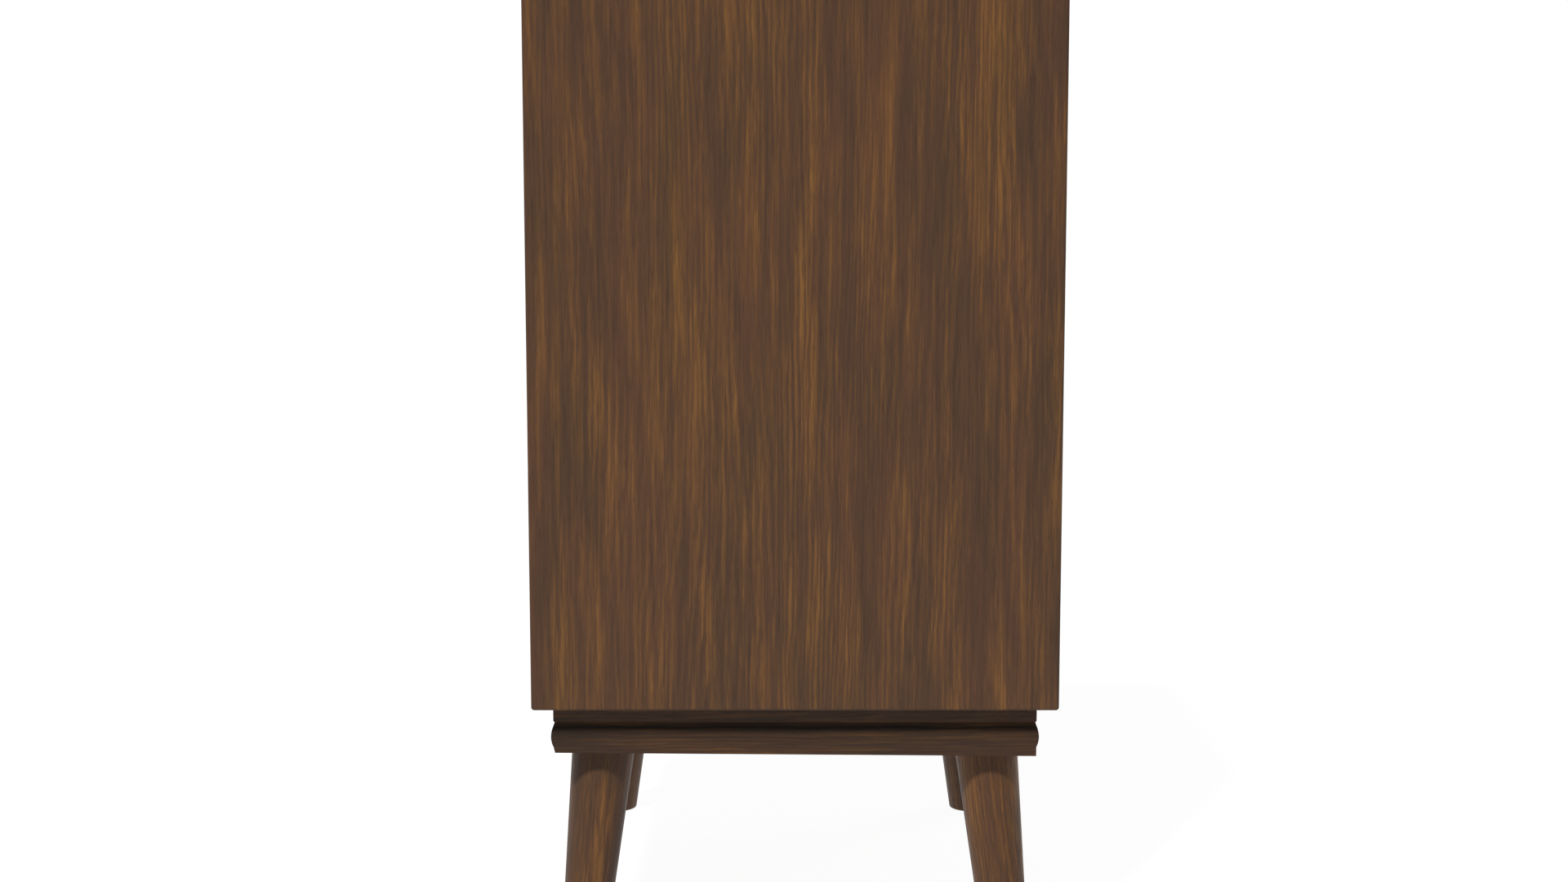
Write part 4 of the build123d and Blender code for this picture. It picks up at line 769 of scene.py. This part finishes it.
weave, tree, shader = new_finish("grille_weave", 0.8, specular_ior_level=0.2)
place = add(tree, "ShaderNodeTexCoord").outputs["Object"]
parts = add(tree, "ShaderNodeSeparateXYZ", {0: place})
two_threads = 0.0018
thread_wander = 1.6
thread = 2 * math.pi / two_threads
wobble = noise(tree, scaled(tree, place, 220, 220, ALONG_Z), 2)
across = number(tree, "MULTIPLY", parts.outputs["X"], thread)
across = number(tree, "MULTIPLY_ADD", wobble, thread_wander, across)
along = number(tree, "MULTIPLY", parts.outputs["Z"], thread)
along = number(tree, "MULTIPLY_ADD", wobble, thread_wander, along)
over = number(tree, "MULTIPLY", number(tree, "SINE", across), number(tree, "SINE", along))
warp_shows = spread(tree, over, -0.12, 0.12)
warp_round = number(tree, "ABSOLUTE", number(tree, "COSINE", across))
weft_round = number(tree, "ABSOLUTE", number(tree, "COSINE", along))
hill = add(tree, "ShaderNodeMix", {0: warp_shows, 2: weft_round, 3: warp_round}).outputs[0]
fleck = spread(tree, noise(tree, scaled(tree, place, 900, 40, ALONG_X), 2), 0.60, 0.66)
cotton = mix(tree, wobble, stain(150, 124, 84), stain(176, 150, 106))
gold_thread = mix(tree, fleck, cotton, stain(214, 176, 96))
weft_colour = mix(tree, wobble, stain(112, 88, 58), stain(134, 108, 74))
cloth_colour = mix(tree, warp_shows, weft_colour, gold_thread)
shade = spread(tree, hill, 0.1, 0.9, 0.45, 1.0)
shade = add(tree, "ShaderNodeCombineColor", {0: shade, 1: shade, 2: shade}).outputs[0]
cloth_colour = mix(tree, 1.0, cloth_colour, shade, "MULTIPLY")
tree.links.new(cloth_colour, shader.inputs["Base Color"])
tree.links.new(spread(tree, fleck, 0, 1, 0.85, 0.4), shader.inputs["Roughness"])
thread_height = 0.00035
bump(tree, shader, hill, thread_height, 0.8)

cloth_low, cloth_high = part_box("grille_cloth")
cloth_turn = 0.0022
cloth_clear = 0.00005
cloth = bmesh.new()
columns, rows = 66, 30
rows_of_points = []
for row in range(rows + 3):
    line = []
    for column in range(columns + 3):
        across_share = min(max((column - 1) / columns, 0), 1)
        up_share = min(max((row - 1) / rows, 0), 1)
        turned_back = column in (0, columns + 2) or row in (0, rows + 2)
        x = cloth_low.x + (cloth_high.x - cloth_low.x) * across_share
        z = cloth_low.z + (cloth_high.z - cloth_low.z) * up_share
        y = cloth_low.y + (cloth_turn if turned_back else cloth_clear)
        line.append(cloth.verts.new((x, y, z)))
    rows_of_points.append(line)
for lower, upper in zip(rows_of_points, rows_of_points[1:]):
    for column in range(columns + 2):
        cloth.faces.new((lower[column], lower[column + 1], upper[column + 1], upper[column]))
bmesh.ops.remove_doubles(cloth, verts=cloth.verts, dist=same_place)
cloth_piece = new_piece("grille_weave_sheet", cloth, weave, "cabinet", 60)
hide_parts("grille_cloth")

# ---------------------------------------------------------------- loudspeaker
# A pressed steel basket with a ribbed paper cone and a painted magnet pot, screwed to the back
# of the front board.
put_on(plated("basket_plate", (0.46, 0.45, 0.42, 1), 0.42), "speaker_basket")
paper, tree, shader = new_finish("cone_paper", 0.85, specular_ior_level=0.15)
place = add(tree, "ShaderNodeTexCoord").outputs["Object"]
fibre = noise(tree, scaled(tree, place, 500, 500, ALONG_Z), 4, 0.7)
tree.links.new(mix(tree, fibre, stain(46, 43, 40), stain(78, 73, 67)), shader.inputs["Base Color"])
bump(tree, shader, fibre, 0.0002, 0.7)
put_on(paper, "speaker_cone")


def painted(name, colour, roughness=0.45):
    """Brushed-on lacquer, thin in places."""
    finish, tree, shader = new_finish(name, roughness)
    place = add(tree, "ShaderNodeTexCoord").outputs["Object"]
    cloud = spread(tree, noise(tree, scaled(tree, place, 140, 140, ALONG_Z), 4, 0.6), 0.3, 0.7)
    paler = tuple(1.6 * part + 0.004 for part in colour[:3]) + (1,)
    tree.links.new(mix(tree, cloud, colour, paler), shader.inputs["Base Color"])
    tree.links.new(spread(tree, cloud, 0, 1, roughness - 0.08, roughness + 0.12), shader.inputs["Roughness"])
    bump(tree, shader, cloud, 0.0001, 0.5)
    return finish


put_on(painted("magnet_lacquer", stain(64, 70, 74)), "speaker_magnet")

# ---------------------------------------------------------------- works on the shelf
# A folded steel pan carries the valves in moulded sockets, the drawn aluminium capacitor cans
# and two transformers with lacquered laminations.
put_on(plated("pan_plate", (0.56, 0.55, 0.50, 1), 0.36), "chassis_pan")
put_on(phenolic, "valve_sockets")
valve_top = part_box("valves")[1].z
silver_from, silver_full = 0.012, 0.009
valve, tree, shader = new_finish("valve_glass", 0.06, coat_weight=0.5, coat_roughness=0.03)
place = add(tree, "ShaderNodeTexCoord").outputs["Object"]
up = add(tree, "ShaderNodeSeparateXYZ", {0: place}).outputs["Z"]
cloud = noise(tree, scaled(tree, place, 160, 160, ALONG_Z), 2)
edge = number(tree, "MULTIPLY_ADD", cloud, 0.006, up)
silvered = spread(tree, edge, valve_top - silver_from, valve_top - silver_full)
inside = mix(tree, cloud, stain(38, 38, 40), stain(84, 84, 86))
tree.links.new(mix(tree, silvered, inside, (0.72, 0.72, 0.74, 1)), shader.inputs["Base Color"])
tree.links.new(silvered, shader.inputs["Metallic"])
put_on(valve, "valves")
put_on(plated("drawn_aluminium", (0.66, 0.66, 0.67, 1), 0.28), "capacitor_cans")
lamination = painted("lamination_lacquer", stain(34, 34, 36), 0.42)
put_on(lamination, "power_transformer", "line_transformer")

# ---------------------------------------------------------------- back cover
# Perforated brown hardboard, smooth outside, with its slots punched through. It carries the
# aerial terminals and the mains inlet, both moulded in brown phenolic.
hardboard, tree, shader = new_finish("hardboard", 0.6, specular_ior_level=0.3)
place = add(tree, "ShaderNodeTexCoord").outputs["Object"]
pulp = noise(tree, scaled(tree, place, 420, 420, ALONG_Z), 6, 0.75)
patches = spread(tree, noise(tree, scaled(tree, place, 14, 14, ALONG_Z), 3), 0.3, 0.7)
browns = [(0.3, stain(70, 47, 32)), (0.5, stain(96, 67, 45)), (0.72, stain(122, 90, 62))]
colour = ramp(tree, pulp, browns)
colour = mix(tree, number(tree, "MULTIPLY", patches, 0.35), colour, stain(78, 52, 34))
tree.links.new(colour, shader.inputs["Base Color"])
tree.links.new(spread(tree, pulp, 0.3, 0.7, 0.5, 0.68), shader.inputs["Roughness"])
bump(tree, shader, pulp, 0.00015, 0.6)
put_on(hardboard, "back_cover")
terminals = moulded("terminal_moulding", stain(46, 28, 20), 0.34)
put_on(terminals, "aerial_terminals", "mains_inlet")

# ---------------------------------------------------------------- wood screws
# Plated round-headed screws with a slot across each head. They hold the back cover, the front
# board, the loudspeaker and the shelf.
screw_source = bmesh.new()
screw_source.from_mesh(nodes["wood_screws"].data)
bmesh.ops.remove_doubles(screw_source, verts=screw_source.verts, dist=same_place)
unseen = set(screw_source.verts)
screws = bmesh.new()
slot_turn = random.Random(17)


def wood_screw(shape, tip, top, head, shank, turn):
    """A domed head with a slot, on a shank, from its tip to the top of its head."""
    way = (top - tip).normalized()
    head_height = 0.0016
    point_length = 0.003
    seat = (top - tip).length - head_height
    made = bmesh.new()
    profile = [
        (0.0, 0.0),
        (point_length, shank),
        (seat, shank),
        (seat, head),
        (seat + 0.3 * head_height, head),
        (seat + 0.62 * head_height, head * 0.88),
        (seat + 0.86 * head_height, head * 0.62),
        (seat + head_height, head * 0.3),
        (seat + head_height, 0.0),
    ]
    steps = 40
    loops = []
    for height, radius in profile:
        if radius == 0:
            loops.append([made.verts.new((0, 0, height))] * steps)
        else:
            ring = [2 * math.pi * step / steps for step in range(steps)]
            ring = [(radius * math.cos(angle), radius * math.sin(angle), height) for angle in ring]
            loops.append([made.verts.new(place) for place in ring])
    for near, far in zip(loops, loops[1:]):
        for step in range(steps):
            following = (step + 1) % steps
            corners = [near[step], near[following], far[following], far[step]]
            made.faces.new(list(dict.fromkeys(corners)))
    slot_half = 0.00045
    slot_floor = seat + 0.35 * head_height
    for side in (-1, 1):
        geometry = made.verts[:] + made.edges[:] + made.faces[:]
        wall = (side * slot_half, 0, 0)
        bmesh.ops.bisect_plane(made, geom=geometry, plane_co=wall, plane_no=(1, 0, 0))
    inside_walls = slot_half - 0.00001
    for point in made.verts:
        if abs(point.co.x) < inside_walls and point.co.z > slot_floor:
            point.co.z = slot_floor
    bmesh.ops.recalc_face_normals(made, faces=made.faces)
    spin = Matrix.Rotation(turn, 4, "Z")
    stand = way.to_track_quat("Z", "Y").to_matrix().to_4x4()
    made.transform(Matrix.Translation(tip) @ stand @ spin)
    mesh = bpy.data.meshes.new("screw")
    made.to_mesh(mesh)
    made.free()
    shape.from_mesh(mesh)
    bpy.data.meshes.remove(mesh)


for first in screw_source.verts:
    if first not in unseen:
        continue
    unseen.discard(first)
    island, edge_of_island = [], [first]
    while edge_of_island:
        point = edge_of_island.pop()
        island.append(point)
        for link in point.link_edges:
            other = link.other_vert(point)
            if other in unseen:
                unseen.discard(other)
                edge_of_island.append(other)
    points = [point.co for point in island]
    low = Vector([min(point[i] for point in points) for i in range(3)])
    high = Vector([max(point[i] for point in points) for i in range(3)])
    size = high - low
    length_axis = max(range(3), key=lambda i: size[i])
    side_axis = (length_axis + 1) % 3
    middle = (low + high) / 2
    head_radius = size[side_axis] / 2
    off_centre = [abs(point[side_axis] - middle[side_axis]) for point in points]
    wide = [point[length_axis] for point, off in zip(points, off_centre) if off > head_radius * 0.95]
    top, tip = middle.copy(), middle.copy()
    head_is_high = sum(wide) / len(wide) > middle[length_axis]
    top[length_axis] = high[length_axis] if head_is_high else low[length_axis]
    tip[length_axis] = low[length_axis] if head_is_high else high[length_axis]
    wood_screw(screws, tip, top, head_radius, 0.5 * head_radius, slot_turn.uniform(0, math.pi))
screw_source.free()
screw_piece = new_piece("slotted_screws", screws, zinc, "cabinet", 32)
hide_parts("wood_screws")

# ---------------------------------------------------------------- leads inside the set
# Copper leads covered in rubber, soldered at both ends: one to the tube's anode, one to the
# tube's socket and one to the loudspeaker.
rubber, tree, shader = new_finish("lead_rubber", 0.6)
place = add(tree, "ShaderNodeTexCoord").outputs["Object"]
grime = noise(tree, scaled(tree, place, 300, 300, ALONG_Z), 3)
tree.links.new(mix(tree, grime, stain(38, 34, 31), stain(62, 55, 50)), shader.inputs["Base Color"])
bump(tree, shader, grime, 0.00008, 0.5)
put_on(rubber, "internal_leads")

# ---------------------------------------------------------------- floor
# A plain pale floor, painted and evenly lit from within, so that it is bright enough to run
# into the surround and takes only a faint shadow.
floor_paint, tree, shader = new_finish("floor_paint", 0.9, specular_ior_level=0.0)
place = add(tree, "ShaderNodeTexCoord").outputs["Object"]
cloud = noise(tree, scaled(tree, place, 0.6, 0.6, ALONG_Z), 2)
paint = mix(tree, cloud, (0.06, 0.06, 0.06, 1), (0.07, 0.07, 0.07, 1))
tree.links.new(paint, shader.inputs["Base Color"])
floor_glow = 0.955
shader.inputs["Emission Color"].default_value = (1, 1, 1, 1)
shader.inputs["Emission Strength"].default_value = floor_glow
floor.data.materials.append(floor_paint)
